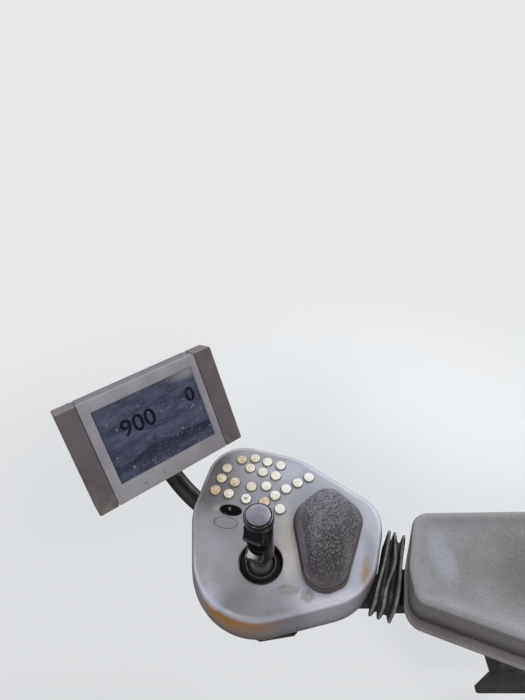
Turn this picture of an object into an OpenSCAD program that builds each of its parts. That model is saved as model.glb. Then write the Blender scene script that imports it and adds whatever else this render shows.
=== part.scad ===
// Right-hand control armrest of a forwarder's seat, in millimetres.
// +X runs back along the forearm, +Y outboard, away from the operator, +Z up.
// The origin is the centre of the bracket's flat face, which bolts to the seat.

/* [Control pod] */
// Length of the arm, from the hinge's pin forward to the joystick's axis
arm_len = 420; // [400:5:480]
// Y of the joystick's axis
stick_y = 60; // [50:1:70]
// Height of the pod's top face over the mount's centre
pod_top_z = 260; // [240:5:310]
// Depth of the pod's moulded shell
pod_depth = 58; // [56:1:64]
// Wall of the shell
pod_wall = 3; // [2.5:0.5:4]
// Thickness of the bottom pan
pan_t = 4; // [3:0.5:5]
// How far the pod slides forward
pod_travel = 60; // [30:5:70]

/* [Joystick] */
// Radius of the hole in the pod's top
stick_hole_r = 27.5; // [26:0.5:29]
// Depth of the gimbal's centre under the pod's top
gimbal_depth = 30; // [28:1:32]
// Largest lean of the stick each way, in degrees
stick_lean = 20; // [10:1:22]
// Radius of the grip
grip_r = 16.5; // [15:0.5:18]
// Bottom of the grip over the pod's top
grip_base = 27; // [24:1:30]
// Height of the cap's face over the pod's top
grip_top = 110; // [105:1:120]
// Turn of the grip's thumb side forward from square to the operator, in degrees
thumb_turn = 28; // [0:1:40]

/* [Keypad] */
// Diameter of a round key
key_d = 14.5; // [12:0.5:15]
// How far a key stands proud
key_proud = 3; // [2:0.5:4]
// Gap round a key
key_gap = 0.7; // [0.5:0.1:1]

/* [Armrest] */
// Height of the soft pad's rim over the pod's top face
pad_rise = 15; // [10:1:20]
// Wall of the tray
tray_wall = 4; // [3:0.5:5]

/* [Slide beam] */
// Width of the square-cornered beam
beam_w = 44; // [40:1:48]
// Height of the beam
beam_h = 26; // [24:1:28]
// Wall of the beam
beam_wall = 4; // [3:0.5:4]
// Y of the beam, the post and the bar
beam_y = 45; // [42:1:48]
// Running gap between the bar and the beam's inside
slide_gap = 0.1; // [0.05:0.05:0.1]

/* [Seat bracket] */
// Width of the mounting plate
plate_w = 120; // [110:1:140]
// Height of the mounting plate
plate_h = 140; // [130:1:160]
// Thickness of the plate
plate_t = 8; // [6:1:10]
// Hole spacing across
bolt_dx = 80; // [70:1:90]
// Hole spacing up and down
bolt_dz = 100; // [90:1:110]
// Radius of the M10 clearance holes
bolt_r = 5.5; // [5.3:0.1:5.6]
// Outside of the square guide tube
guide_w = 50; // [48:1:54]
// Wall of the guide tube
guide_wall = 4; // [3:0.5:4]
// Gap between the post and the guide
post_gap = 0.5; // [0.3:0.1:1]
// How far the post slides up
post_travel = 80; // [40:5:90]

/* [Hinge] */
// X of the hinge's pin
hinge_x = 20; // [18:1:22]
// Radius of the pin
hinge_r = 6; // [5:0.5:7]
// Radius of the knuckle and ears
knuckle_r = 14.5; // [13:0.5:15]
// Radial clearance of running pins
run_gap = 0.05; // [0.03:0.01:0.08]

/* [Display] */
// Width over both end strips
screen_case_w = 216; // [200:1:230]
// Height of the case
screen_case_h = 145; // [135:1:155]
// Depth of the case
screen_case_d = 35; // [30:1:40]
// How far ahead of the joystick the middle of the case's face stands
screen_ahead = 137; // [130:1:160]
// How far outboard of it
screen_out = 137; // [130:1:170]
// How far above the pod's top
screen_rise = 91; // [85:1:110]
// Width of an end strip
end_w = 26; // [22:1:30]
// Width of the screen's window
window_w = 141; // [130:1:145]
// Height of the window
window_h = 105; // [95:1:110]
// Turn of the case about Z, in degrees
case_turn = 36; // [30:1:40]
// Lean of the case away from the operator, in degrees
case_lean = 30; // [20:1:35]
// Radius of the bent arm tube
arm_r = 14; // [12:0.5:14]
// Bend radius of the tube's centre line
arm_bend = 75; // [65:1:78]

/* [Hidden] */
$fn = 48;
eps = 0.01;

// Colours
moulded_grey = "#8b8f93";
warm_grey = "#7f7a78";
charcoal = "#2c2a2b";
gloss_black = "#0f0f10";
steel_black = "#1b1c1e";
ivory = "#d9cfb8";
taupe = "#6b6461";
bezel_grey = "#8c8887";
screen_blue = "#2b3040";
zinc = "#9aa0a4";

// The bar lies on the pod's pan, runs inside the beam, and the tray lies on the beam
beam_bottom_z = pod_top_z - pod_depth - beam_wall - slide_gap;
beam_top_z = beam_bottom_z + beam_h;
tray_drop = pod_top_z - beam_top_z;

// Pod outline about the joystick's axis, widest section: [x, y, radius] of each arc
stick_x = hinge_x - arm_len;
pod_corners = [
    [-23.5, 122.5, 58], [22.5, 87, 79], [116.5, 55.5, 47.5], [72, 27.5, 81.5], [-4, 14, 85.5], [-31.5, 68, 64]
];
// Pod sections from the top down: [depth under the top face, inset of the outline]
pod_sections = [[0, 9], [1.8, 5.2], [6, 3], [20, 1], [38, 0], [50, 1], [55, 4], [pod_depth, 9]];
pod_cavity_inset = 8;
pod_waist_depth = 46;
pod_mouth_inset = 14;
pan_inset = 11;

// Palm pad outline about the joystick's axis: [x, y, radius]
palm_corners = [[91.5, 74, 26], [86.5, 48, 43], [106.5, 56.5, 27], [85.5, -12.5, 21], [76.5, -11.5, 25.5]];
// Palm pad sections: [height over the pod's top, inset]
palm_sections = [[3, 1], [7, 1.5], [12, 6], [15, 14]];
palm_rim_t = 3;

// Round keys about the joystick's axis: [x, y]
key_spots = [
    [-28, 150.5], [-8.5, 153], [9.5, 146.5], [28.5, 140.5],
    [-49, 136], [-15.5, 136], [2.5, 129.5], [21, 123],
    [-56, 119], [-37, 112.5], [68, 120.5], [51.5, 111.5], [35, 102],
    [-63.5, 100], [-44.5, 94.5], [-13.5, 105.5], [7.5, 106.5],
    [19.5, 91.5], [-20.5, 86.5], [4.5, 81.5], [25.5, 71]
];
key_seat_t = 2;
key_seat_inset = 16;
key_seat_near_y = 63;

// Oval controls left of the grip: [x, y, length, width, turn in degrees]
rocker_spot = [-40.5, 70.3, 30, 16, -10];
plug_spot = [-46.7, 52.3, 31, 16, -9];
oval_gap = 0.3;
rocker_depth = 10;

// Armrest outline, widest section: [x, y, radius] of each corner
// Its front stands clear of the pod by the bellows
rest_set_back = 169;
rest_front_x = stick_x + rest_set_back;
rest_corners = [
    [rest_front_x + 64.5, 85, 38], [rest_front_x + 62.5, 38, 55], [rest_front_x + 23.5, 9, 23.5],
    [rest_front_x + 162.5, -17.5, 47.5], [hinge_x + 2, -16, 42], [hinge_x + 6, 83.5, 43]
];
// Tray sections and pad sections: [height over the pod's top, inset]
groove_z = -12;
tray_foot_inset = 12;
tray_sections = [[-tray_drop, tray_foot_inset], [3 - tray_drop, 4], [groove_z - 3, 0], [groove_z, 3]];
pad_sections = [
    [groove_z, 8.5], [groove_z + 3.5, 5], [groove_z + 8, 4.6], [pad_rise - 3, 8.4], [pad_rise - 1, 10], [pad_rise, 12.5]
];
// The pad stands outboard of the tray's middle
pad_set_out = 4.5;
dish_depth = 6;
dish_inset = 16.5;
dish_floor_inset = 36;

// Beam and bar
beam_front_x = rest_front_x - 5;
bar_w = beam_w - 2 * (beam_wall + slide_gap);
bar_h = beam_h - 2 * (beam_wall + slide_gap);
bar_bottom_z = beam_bottom_z + beam_wall + slide_gap;
bar_set_back = 48;
bar_len = 252;
bar_bearing = 40;
bar_front_x = stick_x + bar_set_back;
bar_port_gap = 3;
port_front_x = bar_front_x + bar_bearing;

// Bellows between the pod and the tray
fold_count = 3;
fold_pitch = 10;
fold_t = 5;
fold_len = 102;
fold_h = 58;
fold_r = 14;
fold_valley = 5;
fold_turn = -20;
bellows_x = rest_front_x - 3.5;
bellows_y = stick_y + 2;
bellows_z = beam_top_z - 5;
bellows_fit = 0.1;

// Hinge, head and post
hinge_z = beam_bottom_z + 7;
ear_t = 8;
ear_gap = 0.5;
head_w = beam_w + 2 * (ear_gap + ear_t);
head_base_z = hinge_z - 27;
head_base_t = 6;
head_front_x = -22;
stop_gap = 0.3;
post_w = guide_w - 2 * (guide_wall + post_gap);
post_wall = 3;
post_bottom_z = -60;
guide_bottom_z = -70;
guide_top_z = 66;
rib_t = 6;
knob_z = 40;
knob_r = 17;
knob_screw_r = 4;

// Grip's thumb side: a flat, a paddle over a recess, and a lower block, in heights over the pod's top
cap_h = 6;
thumb_flat = 14.5;
paddle_high_z = 100;
paddle_low_z = 86.5;
block_high_z = 65;
block_low_z = 43;

// Gimbal
gimbal_z = pod_top_z - gimbal_depth;
trunnion_r = 3;
ring_outer_r = 20;
ring_inner_r = 13;
ring_h = 8;
base_outer_r = 29;
base_inner_r = 25.4;
shaft_r = 6;
shaft_hub_r = 8;

// Display case, its tilt pivot and the arm that carries it
case_spot = [stick_x - screen_ahead, stick_y + screen_out, pod_top_z + screen_rise];
pivot_local = [10, screen_case_d + 23, -16.5];
window_spot = [1.5, 4.5];
bezel_t = 8;
glass_t = 3;
glass_lap = 2;
case_wall = 3;
turned_y = pivot_local.y * cos(case_lean) + pivot_local.z * sin(case_lean);
pivot_spot = case_spot + [
    pivot_local.x * cos(case_turn) - turned_y * sin(case_turn),
    pivot_local.x * sin(case_turn) + turned_y * cos(case_turn),
    pivot_local.z * cos(case_lean) - pivot_local.y * sin(case_lean)
];
lug_plate = [68, 3, 40];
stub_spot = [stick_x - 50, stick_y + 91];
stub_r = 8;
pan_bottom_z = pod_top_z - pod_depth - pan_t;
hub_r = 18;
hub_top_z = pan_bottom_z - 2.5;
hub_h = 30;
arm_z = hub_top_z - hub_h / 2;
arm_reach = norm([pivot_spot.x - stub_spot.x, pivot_spot.y - stub_spot.y]);
arm_heading = atan2(pivot_spot.y - stub_spot.y, pivot_spot.x - stub_spot.x);
head_r = 12;
head_len = 34;
lug_t = 6;
lug_gap = 0.5;
tilt_pin_r = 4;

module lofted(corners, sections) {
    hull()
        for (s = sections)
            for (c = corners)
                translate([c.x, c.y, s[0]])
                    cylinder(r = max(c[2] - s[1], 1), h = eps, $fn = 28);
}

// A straight-walled block of the same outline
module prism(corners, inset, low, tall) {
    translate([0, 0, low]) linear_extrude(tall)
        hull()
            for (c = corners)
                translate([c.x, c.y]) circle(r = c[2] - inset, $fn = 28);
}

module on_pod() {
    translate([stick_x, stick_y, pod_top_z]) children();
}

module on_case() {
    translate(case_spot) rotate([0, 0, case_turn]) rotate([-case_lean, 0, 0]) children();
}

module box(size, at) {
    translate([at.x - size.x / 2, at.y - size.y / 2, at.z]) cube(size);
}

// An upright oval prism with its long axis turned
module oval(spot, grow, low, tall) {
    long = spot[2] + 2 * grow;
    wide = spot[3] + 2 * grow;
    translate([spot.x, spot.y, low]) rotate([0, 0, spot[4]])
        scale([1, wide / long, 1]) cylinder(d = long, h = tall);
}

// A flat plate with rounded corners, centred, its thickness along Z
module rounded_plate(size, r) {
    for (x = [-1, 1])
        for (y = [-1, 1])
            translate([x * (size.x / 2 - r), y * (size.y / 2 - r), -size.z / 2]) cylinder(r = r, h = size.z);
    translate([-size.x / 2, r - size.y / 2, -size.z / 2]) cube([size.x, size.y - 2 * r, size.z]);
    translate([r - size.x / 2, -size.y / 2, -size.z / 2]) cube([size.x - 2 * r, size.y, size.z]);
}

module bracket_plate() {
    color(steel_black) difference() {
        union() {
            translate([0, plate_t / 2, 0]) rotate([90, 0, 0]) rounded_plate([plate_w, plate_h, plate_t], 12);
            for (z = [guide_bottom_z + 10, guide_top_z - 10 - rib_t])
                translate([-guide_w / 2, plate_t, z])
                    cube([guide_w, beam_y - guide_w / 2 - plate_t, rib_t]);
        }
        for (x = [-1, 1])
            for (z = [-1, 1])
                translate([x * bolt_dx / 2, -1, z * bolt_dz / 2])
                    rotate([-90, 0, 0]) cylinder(r = bolt_r, h = plate_t + 2);
    }
}

module guide_tube() {
    tall = guide_top_z - guide_bottom_z;
    inner = guide_w - 2 * guide_wall;
    color(steel_black) difference() {
        box([guide_w, guide_w, tall], [0, beam_y, guide_bottom_z]);
        box([inner, inner, tall + 2], [0, beam_y, guide_bottom_z - 1]);
        translate([0, beam_y, knob_z]) rotate([-90, 0, 0]) cylinder(r = knob_screw_r + run_gap, h = guide_w);
    }
}

module height_knob() {
    face_y = beam_y + guide_w / 2;
    neck_r = knob_screw_r + 3;
    color(gloss_black) translate([0, face_y, knob_z]) rotate([-90, 0, 0]) {
        translate([0, 0, 1 - guide_wall]) cylinder(r = knob_screw_r, h = guide_wall + 5);
        cylinder(r1 = neck_r, r2 = neck_r + 4, h = 13);
        translate([0, 0, 12]) cylinder(r = knob_r, h = 14);
        for (turn = [0:60:300])
            rotate([0, 0, turn]) translate([knob_r - 2, 0, 13]) cylinder(r = 5, h = 12);
    }
}

module post_tube() {
    tall = head_base_z - post_bottom_z;
    color(zinc) difference() {
        box([post_w, post_w, tall], [0, beam_y, post_bottom_z]);
        box([post_w - 2 * post_wall, post_w - 2 * post_wall, tall + 2], [0, beam_y, post_bottom_z - 1]);
    }
}

module hinge_head() {
    base_top_z = head_base_z + head_base_t;
    rear_x = hinge_x + knuckle_r;
    color(steel_black) difference() {
        union() {
            translate([head_front_x, beam_y - head_w / 2, head_base_z])
                cube([rear_x - head_front_x, head_w, head_base_t]);
            for (side = [-1, 1])
                translate([0, beam_y + side * (head_w - ear_t) / 2, 0]) {
                    translate([hinge_x - knuckle_r, -ear_t / 2, base_top_z])
                        cube([2 * knuckle_r, ear_t, hinge_z - base_top_z]);
                    translate([hinge_x, ear_t / 2, hinge_z])
                        rotate([90, 0, 0]) cylinder(r = knuckle_r, h = ear_t);
                }
            translate([head_front_x, beam_y - 10, base_top_z])
                cube([12, 20, beam_bottom_z - stop_gap - base_top_z]);
        }
        translate([hinge_x, beam_y + head_w, hinge_z])
            rotate([90, 0, 0]) cylinder(r = hinge_r, h = 2 * head_w);
    }
}

module hinge_pin() {
    head_t = 3;
    color(zinc) translate([hinge_x, beam_y + head_w / 2 + head_t, hinge_z]) rotate([90, 0, 0]) {
        cylinder(r = hinge_r, h = head_w + 2 * head_t);
        cylinder(r = hinge_r + 3, h = head_t);
        translate([0, 0, head_w + head_t]) cylinder(r = hinge_r + 3, h = head_t);
    }
}

module arm_beam() {
    neck_x = hinge_x - knuckle_r - 6;
    inner = [0, beam_w - 2 * beam_wall, beam_h - 2 * beam_wall];
    color(steel_black) difference() {
        union() {
            translate([beam_front_x, beam_y - beam_w / 2, beam_bottom_z])
                cube([neck_x - beam_front_x, beam_w, beam_h]);
            translate([neck_x - 3, beam_y - beam_w / 2, beam_bottom_z])
                cube([hinge_x - neck_x + 3, beam_w, hinge_z + knuckle_r - beam_bottom_z - 4]);
            translate([hinge_x, beam_y + beam_w / 2, hinge_z])
                rotate([90, 0, 0]) cylinder(r = knuckle_r, h = beam_w);
        }
        translate([beam_front_x - 1, beam_y - inner.y / 2, beam_bottom_z + beam_wall])
            cube([neck_x - beam_front_x - 2, inner.y, inner.z]);
        translate([hinge_x, beam_y + beam_w, hinge_z])
            rotate([90, 0, 0]) cylinder(r = hinge_r + run_gap, h = 2 * beam_w);
    }
}

module armrest_tray() {
    color(warm_grey) translate([0, 0, pod_top_z]) difference() {
        lofted(rest_corners, tray_sections);
        prism(rest_corners, tray_foot_inset + tray_wall, tray_wall - tray_drop, tray_drop);
    }
}

module armrest_pad() {
    dish = [[pad_rise + 1, dish_inset], [pad_rise - dish_depth, dish_floor_inset]];
    color(warm_grey) translate([0, pad_set_out, pod_top_z + eps]) difference() {
        lofted(rest_corners, pad_sections);
        lofted(rest_corners, dish);
    }
}

module bellows() {
    span = (fold_count - 1) * fold_pitch;
    hole = [2 * fold_len, beam_w + 2 * bellows_fit, beam_h + 2 * bellows_fit];
    color(charcoal) difference() {
        translate([bellows_x, bellows_y, bellows_z]) rotate([0, 0, fold_turn]) {
            for (i = [0:fold_count - 1])
                translate([i * fold_pitch - span / 2, 0, 0]) rotate([90, 0, 90])
                    rounded_plate([fold_len, fold_h, fold_t], fold_r);
            rotate([90, 0, 90])
                rounded_plate([fold_len - 2 * fold_valley, fold_h - 2 * fold_valley, span], fold_r - fold_valley);
        }
        box(hole, [bellows_x, beam_y, beam_bottom_z - bellows_fit]);
    }
}

module pod_shell() {
    color(moulded_grey) difference() {
        on_pod() difference() {
            lofted(pod_corners, [for (s = pod_sections) [-s[0], s[1]]]);
            prism(pod_corners, pod_cavity_inset, -pod_waist_depth, pod_waist_depth - pod_wall);
            prism(pod_corners, pod_mouth_inset, -pod_depth - 1, pod_depth - pod_waist_depth + 2);
            translate([0, 0, -2 * pod_wall]) cylinder(r = stick_hole_r, h = 4 * pod_wall);
            for (k = key_spots)
                translate([k.x, k.y, -2 * pod_wall]) cylinder(r = key_d / 2 + key_gap, h = 4 * pod_wall);
            oval(rocker_spot, oval_gap, -2 * pod_wall, 4 * pod_wall);
            oval(plug_spot, oval_gap, -2 * pod_wall, 4 * pod_wall);
        }
        translate([port_front_x, beam_y - bar_w / 2 - bar_port_gap, bar_bottom_z - bar_port_gap])
            cube([bar_len, bar_w + 2 * bar_port_gap, bar_h + 2 * bar_port_gap]);
    }
}

module pod_pan() {
    color(charcoal) on_pod()
        lofted(pod_corners, [[-pod_depth - pan_t, pan_inset + 2], [-pod_depth - eps, pan_inset]]);
}

module slide_bar() {
    color(steel_black) translate([bar_front_x, beam_y - bar_w / 2, bar_bottom_z])
        cube([bar_len, bar_w, bar_h]);
}

// A blade under the pan with a rolled finger edge, which frees the pod to slide
module slide_lever() {
    wide = 55;
    reach = 34;
    thick = 3;
    edge_r = 2.2;
    color(gloss_black) on_pod() translate([19.5, -64, -pod_depth - pan_t - thick / 2]) rotate([0, 0, 8.5]) {
        translate([0, reach / 2, 0]) rounded_plate([wide, reach, thick], 6);
        translate([edge_r - wide / 2 + 3, 1, -edge_r / 2])
            rotate([0, 90, 0]) cylinder(r = edge_r, h = wide - 2 * edge_r - 6);
    }
}

module palm_pad() {
    color(charcoal) on_pod() lofted(palm_corners, palm_sections);
}

module palm_pad_rim() {
    color(charcoal) on_pod() lofted(palm_corners, [[eps, -1], [palm_rim_t - 2 * eps, -0.5]]);
}

module keypad() {
    color(ivory) on_pod() {
        for (k = key_spots)
            translate([k.x, k.y, -pod_wall - key_seat_t])
                cylinder(d = key_d, h = key_proud + pod_wall + key_seat_t);
        difference() {
            prism(pod_corners, key_seat_inset, -pod_wall - key_seat_t, key_seat_t - eps);
            translate([-arm_len, key_seat_near_y - arm_len, -pod_depth]) cube([2 * arm_len, arm_len, pod_depth]);
            oval(rocker_spot, 4, -pod_depth, pod_depth);
        }
    }
}

module oval_rocker() {
    color(gloss_black) on_pod() {
        oval(rocker_spot, 0, -rocker_depth, rocker_depth + 1);
        translate([rocker_spot.x, rocker_spot.y, 0]) rotate([0, 0, rocker_spot[4]])
            translate([-8, 0, 1]) cylinder(r = 5, h = 1);
    }
}

module oval_plug() {
    color(moulded_grey) on_pod() oval(plug_spot, 0, -pod_wall, pod_wall + 0.4);
}

module boot_ring() {
    color(gloss_black) on_pod() difference() {
        translate([0, 0, -8]) cylinder(r = stick_hole_r - 0.2, h = 8.6);
        translate([0, 0, -9]) cylinder(r = stick_hole_r - 3, h = 12);
    }
}

module gaiter() {
    foot_r = stick_hole_r - 3.5;
    profile = [
        [foot_r, -8], [foot_r, -5], [foot_r - 4, -2], [foot_r - 5, -5], [foot_r - 9, 1], [foot_r - 10, -2],
        [shaft_r + 5, 6], [shaft_r + 5, grip_base - 1], [shaft_r + 0.4, grip_base - 1],
        [shaft_r + 0.4, 4], [foot_r - 10, -5], [foot_r - 6, -8]
    ];
    color(charcoal) on_pod() rotate_extrude() polygon(profile);
}

module stick_base() {
    floor_z = pod_top_z - pod_depth + 0.5;
    rim_z = pod_top_z - 8.5;
    color(steel_black) difference() {
        translate([stick_x, stick_y, floor_z]) cylinder(r = base_outer_r, h = rim_z - floor_z);
        translate([stick_x, stick_y, floor_z + 3]) cylinder(r = base_inner_r, h = rim_z - floor_z);
        translate([stick_x, stick_y + 2 * base_outer_r, gimbal_z])
            rotate([90, 0, 0]) cylinder(r = trunnion_r + run_gap, h = 4 * base_outer_r);
    }
}

module arm_stub() {
    washer_r = 13;
    low_z = hub_top_z - hub_h - 0.5;
    color(zinc) translate([stub_spot.x, stub_spot.y, 0]) {
        translate([0, 0, low_z - 6]) cylinder(r = stub_r, h = pan_bottom_z - low_z + 6);
        translate([0, 0, low_z - 6]) cylinder(r = washer_r, h = 6);
        translate([0, 0, pan_bottom_z - 2]) cylinder(r = washer_r, h = 2);
    }
}

module gimbal_ring() {
    color(zinc) translate([stick_x, stick_y, gimbal_z]) difference() {
        union() {
            translate([0, 0, -ring_h / 2]) cylinder(r = ring_outer_r, h = ring_h);
            rotate([90, 0, 0]) translate([0, 0, 1 - base_outer_r])
                cylinder(r = trunnion_r, h = 2 * (base_outer_r - 1));
        }
        translate([0, 0, -ring_h]) cylinder(r = ring_inner_r, h = 2 * ring_h);
        rotate([0, 90, 0]) translate([0, 0, -2 * ring_outer_r])
            cylinder(r = trunnion_r + run_gap, h = 4 * ring_outer_r);
    }
}

module stick_shaft() {
    color(zinc) translate([stick_x, stick_y, gimbal_z]) {
        cylinder(r = shaft_r, h = gimbal_depth + grip_base);
        sphere(r = shaft_hub_r);
        rotate([0, 90, 0]) translate([0, 0, 1 - ring_outer_r])
            cylinder(r = trunnion_r, h = 2 * (ring_outer_r - 1));
    }
}

// The thumb's side of the grip: +X points out of it
module on_thumb() {
    on_pod() rotate([0, 0, -90 - thumb_turn]) children();
}

// A block across the thumb's side, from its side view: [distance from the axis, height]
module thumb_block(wide, profile) {
    color(gloss_black) on_thumb() rotate([90, 0, 0])
        translate([0, 0, -wide / 2]) linear_extrude(wide) polygon(profile);
}

// Grip: a round handle with a rolled foot, a slight waist and a wider collar under the cap, cut
// flat where the thumb blocks stand
module grip() {
    low = grip_base;
    high = grip_top - cap_h;
    collar = 1.5;
    profile = [
        [0, low], [grip_r - 3, low], [grip_r - 0.6, low + 1.5], [grip_r, low + 4],
        [grip_r - 0.5, (low + high) / 2], [grip_r, high - 8], [grip_r + collar, high - 5], [grip_r + collar, high - 1.5],
        [grip_r - 0.6, high], [0, high]
    ];
    color(gloss_black) difference() {
        on_pod() rotate_extrude() polygon(profile);
        on_thumb() translate([thumb_flat, -grip_r, block_low_z - 1]) cube([grip_r, 2 * grip_r, paddle_high_z - block_low_z + 1]);
    }
}

module grip_cap() {
    color(charcoal) on_pod() translate([0, 0, grip_top - cap_h]) {
        cylinder(r = grip_r - 2.2, h = cap_h - 1);
        cylinder(r = grip_r - 3.2, h = cap_h);
    }
}

// A paddle whose lower edge hooks out over the recess
module thumb_rocker() {
    face = grip_r + 4;
    thumb_block(23, [
        [thumb_flat + eps, paddle_high_z - eps], [face - 2, paddle_high_z - eps], [face - 0.8, paddle_high_z - 2],
        [face, paddle_high_z - 7], [face + 1.6, paddle_low_z + 2], [face + 0.6, paddle_low_z], [thumb_flat + eps, paddle_low_z]
    ]);
}

module lower_rocker() {
    face = grip_r + 3.3;
    thumb_block(21, [
        [thumb_flat + eps, block_high_z], [face - 2.5, block_high_z], [face - 0.5, block_high_z - 2.5],
        [face, block_high_z - 8], [face - 0.5, block_low_z + 2.5], [face - 2.5, block_low_z], [thumb_flat + eps, block_low_z]
    ]);
}

module arm_hub() {
    color(steel_black) translate([stub_spot.x, stub_spot.y, 0]) difference() {
        union() {
            translate([0, 0, hub_top_z - hub_h]) cylinder(r = hub_r, h = hub_h);
            translate([0, 0, arm_z]) rotate([0, 90, arm_heading]) cylinder(r = arm_r - 2, h = hub_r + 14);
        }
        translate([0, 0, hub_top_z - hub_h - 1]) cylinder(r = stub_r + run_gap, h = hub_h + 2);
    }
}

// The tube runs level, bends up through a right angle and stands under the tilt pivot
module arm_tube() {
    start = hub_r + 2;
    level = arm_reach - arm_bend;
    wall = 2;
    color(steel_black) translate([stub_spot.x, stub_spot.y, arm_z]) rotate([0, 0, arm_heading])
        difference() {
            union() {
                translate([start, 0, 0]) rotate([0, 90, 0]) cylinder(r = arm_r, h = level - start);
                translate([level, 0, arm_bend]) rotate([90, 0, 0])
                    rotate([0, 0, -90]) rotate_extrude(angle = 90) translate([arm_bend, 0]) circle(r = arm_r);
                translate([arm_reach, 0, arm_bend])
                    cylinder(r = arm_r, h = pivot_spot.z - arm_z - arm_bend - head_r + 1 - eps);
            }
            translate([start - 1, 0, 0]) rotate([0, 90, 0]) cylinder(r = arm_r - wall, h = 13);
        }
}

module arm_head() {
    color(steel_black) translate(pivot_spot) difference() {
        union() {
            rotate([90, 0, case_turn + 90]) translate([0, 0, -head_len / 2]) cylinder(r = head_r, h = head_len);
            translate([0, 0, 1.5 - head_r - 6]) cylinder(r = arm_r + 2, h = 8);
        }
        translate([0, 0, -2 * head_r]) cylinder(r = arm_r, h = head_r + 1);
        rotate([90, 0, case_turn + 90]) translate([0, 0, -head_len])
            cylinder(r = tilt_pin_r + run_gap, h = 2 * head_len);
    }
}

module display_back() {
    wide = screen_case_w - 2 * end_w;
    deep = screen_case_d - bezel_t;
    color(taupe) on_case() difference() {
        translate([-wide / 2, bezel_t, -screen_case_h / 2]) cube([wide, deep, screen_case_h]);
        translate([case_wall - wide / 2, bezel_t - 1, case_wall - screen_case_h / 2])
            cube([wide - 2 * case_wall, deep - case_wall + 1, screen_case_h - 2 * case_wall]);
    }
}

module display_bezel() {
    wide = screen_case_w - 2 * end_w;
    color(bezel_grey) on_case() difference() {
        translate([-wide / 2, 0, -screen_case_h / 2]) cube([wide, bezel_t, screen_case_h]);
        translate([window_spot.x - window_w / 2, -1, window_spot.y - window_h / 2])
            cube([window_w, bezel_t + 2, window_h]);
        translate([window_spot.x - window_w / 2 - glass_lap, 3, window_spot.y - window_h / 2 - glass_lap])
            cube([window_w + 2 * glass_lap, bezel_t, window_h + 2 * glass_lap]);
    }
}

module end_strip(side) {
    low_x = side > 0 ? screen_case_w / 2 - end_w : -screen_case_w / 2;
    color(taupe) on_case() translate([low_x, 0, -screen_case_h / 2])
        cube([end_w, screen_case_d, screen_case_h]);
}

module screen_glass() {
    color(screen_blue) on_case()
        translate([window_spot.x - window_w / 2 - glass_lap, 3, window_spot.y - window_h / 2 - glass_lap])
            cube([window_w + 2 * glass_lap, glass_t, window_h + 2 * glass_lap]);
}

module tilt_lugs() {
    deep = pivot_local.y - screen_case_d;
    color(steel_black) on_case() difference() {
        union() {
            for (side = [-1, 1])
                translate([pivot_local.x + side * (head_len / 2 + lug_gap + lug_t / 2), 0, pivot_local.z]) {
                    translate([-lug_t / 2, screen_case_d, -head_r]) cube([lug_t, deep, 2 * head_r]);
                    translate([-lug_t / 2, pivot_local.y, 0])
                        rotate([0, 90, 0]) cylinder(r = head_r, h = lug_t);
                }
            translate([pivot_local.x - lug_plate.x / 2, screen_case_d, pivot_local.z - lug_plate.z / 2]) cube(lug_plate);
        }
        translate([pivot_local.x - head_len, pivot_local.y, pivot_local.z])
            rotate([0, 90, 0]) cylinder(r = tilt_pin_r, h = 2 * head_len);
    }
}

module tilt_pin() {
    half = head_len / 2 + lug_gap + lug_t;
    color(zinc) on_case() translate([pivot_local.x - half - 3, pivot_local.y, pivot_local.z])
        rotate([0, 90, 0]) {
            cylinder(r = tilt_pin_r, h = 2 * half + 6);
            cylinder(r = tilt_pin_r + 2.5, h = 3);
            translate([0, 0, 2 * half + 3]) cylinder(r = tilt_pin_r + 2.5, h = 3);
        }
}

bracket_plate();
guide_tube();
height_knob();
post_tube();
hinge_head();
hinge_pin();
arm_beam();
armrest_tray();
armrest_pad();
bellows();
pod_shell();
pod_pan();
slide_bar();
slide_lever();
palm_pad();
palm_pad_rim();
keypad();
oval_rocker();
oval_plug();
boot_ring();
gaiter();
stick_base();
arm_stub();
gimbal_ring();
stick_shaft();
grip();
grip_cap();
thumb_rocker();
lower_rocker();
arm_hub();
arm_tube();
arm_head();
display_back();
display_bezel();
end_strip(-1);  // end_strip_left
end_strip(1);  // end_strip_right
screen_glass();
tilt_lugs();
tilt_pin();
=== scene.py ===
"""Right-hand control armrest of a forwarder's seat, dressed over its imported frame. Metres, +Z up."""
import math

import bpy
import numpy as np
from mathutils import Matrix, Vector


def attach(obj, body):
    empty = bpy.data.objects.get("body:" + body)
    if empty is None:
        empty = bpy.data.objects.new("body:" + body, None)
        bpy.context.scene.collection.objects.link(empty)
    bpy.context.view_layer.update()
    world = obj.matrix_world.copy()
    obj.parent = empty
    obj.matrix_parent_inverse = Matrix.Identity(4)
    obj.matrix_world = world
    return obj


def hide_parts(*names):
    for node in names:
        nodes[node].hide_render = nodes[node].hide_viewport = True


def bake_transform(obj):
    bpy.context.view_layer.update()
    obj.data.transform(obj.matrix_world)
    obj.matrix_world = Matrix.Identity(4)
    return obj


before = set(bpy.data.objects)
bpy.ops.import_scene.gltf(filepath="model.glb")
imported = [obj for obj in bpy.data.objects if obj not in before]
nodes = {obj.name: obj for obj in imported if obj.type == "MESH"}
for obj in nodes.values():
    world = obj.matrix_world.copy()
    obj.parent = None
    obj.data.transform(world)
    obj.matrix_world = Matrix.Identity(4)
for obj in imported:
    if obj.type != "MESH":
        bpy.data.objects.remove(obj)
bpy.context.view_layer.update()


# The camera stands where the operator's eyes are, over the near edge of the pod, and looks
# down and outboard. Its place and lens were fitted to the display's and the pod's edges.
eye = (-0.398, -0.211, 0.850)
eye_pitch = math.radians(41.5)
focal_px = 480.0
frame_h_px = 700
camera_data = bpy.data.cameras.new("view")
camera_data.sensor_width = 36.0
camera_data.lens = focal_px / frame_h_px * camera_data.sensor_width
camera = bpy.data.objects.new("view", camera_data)
camera.location = eye
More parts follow.
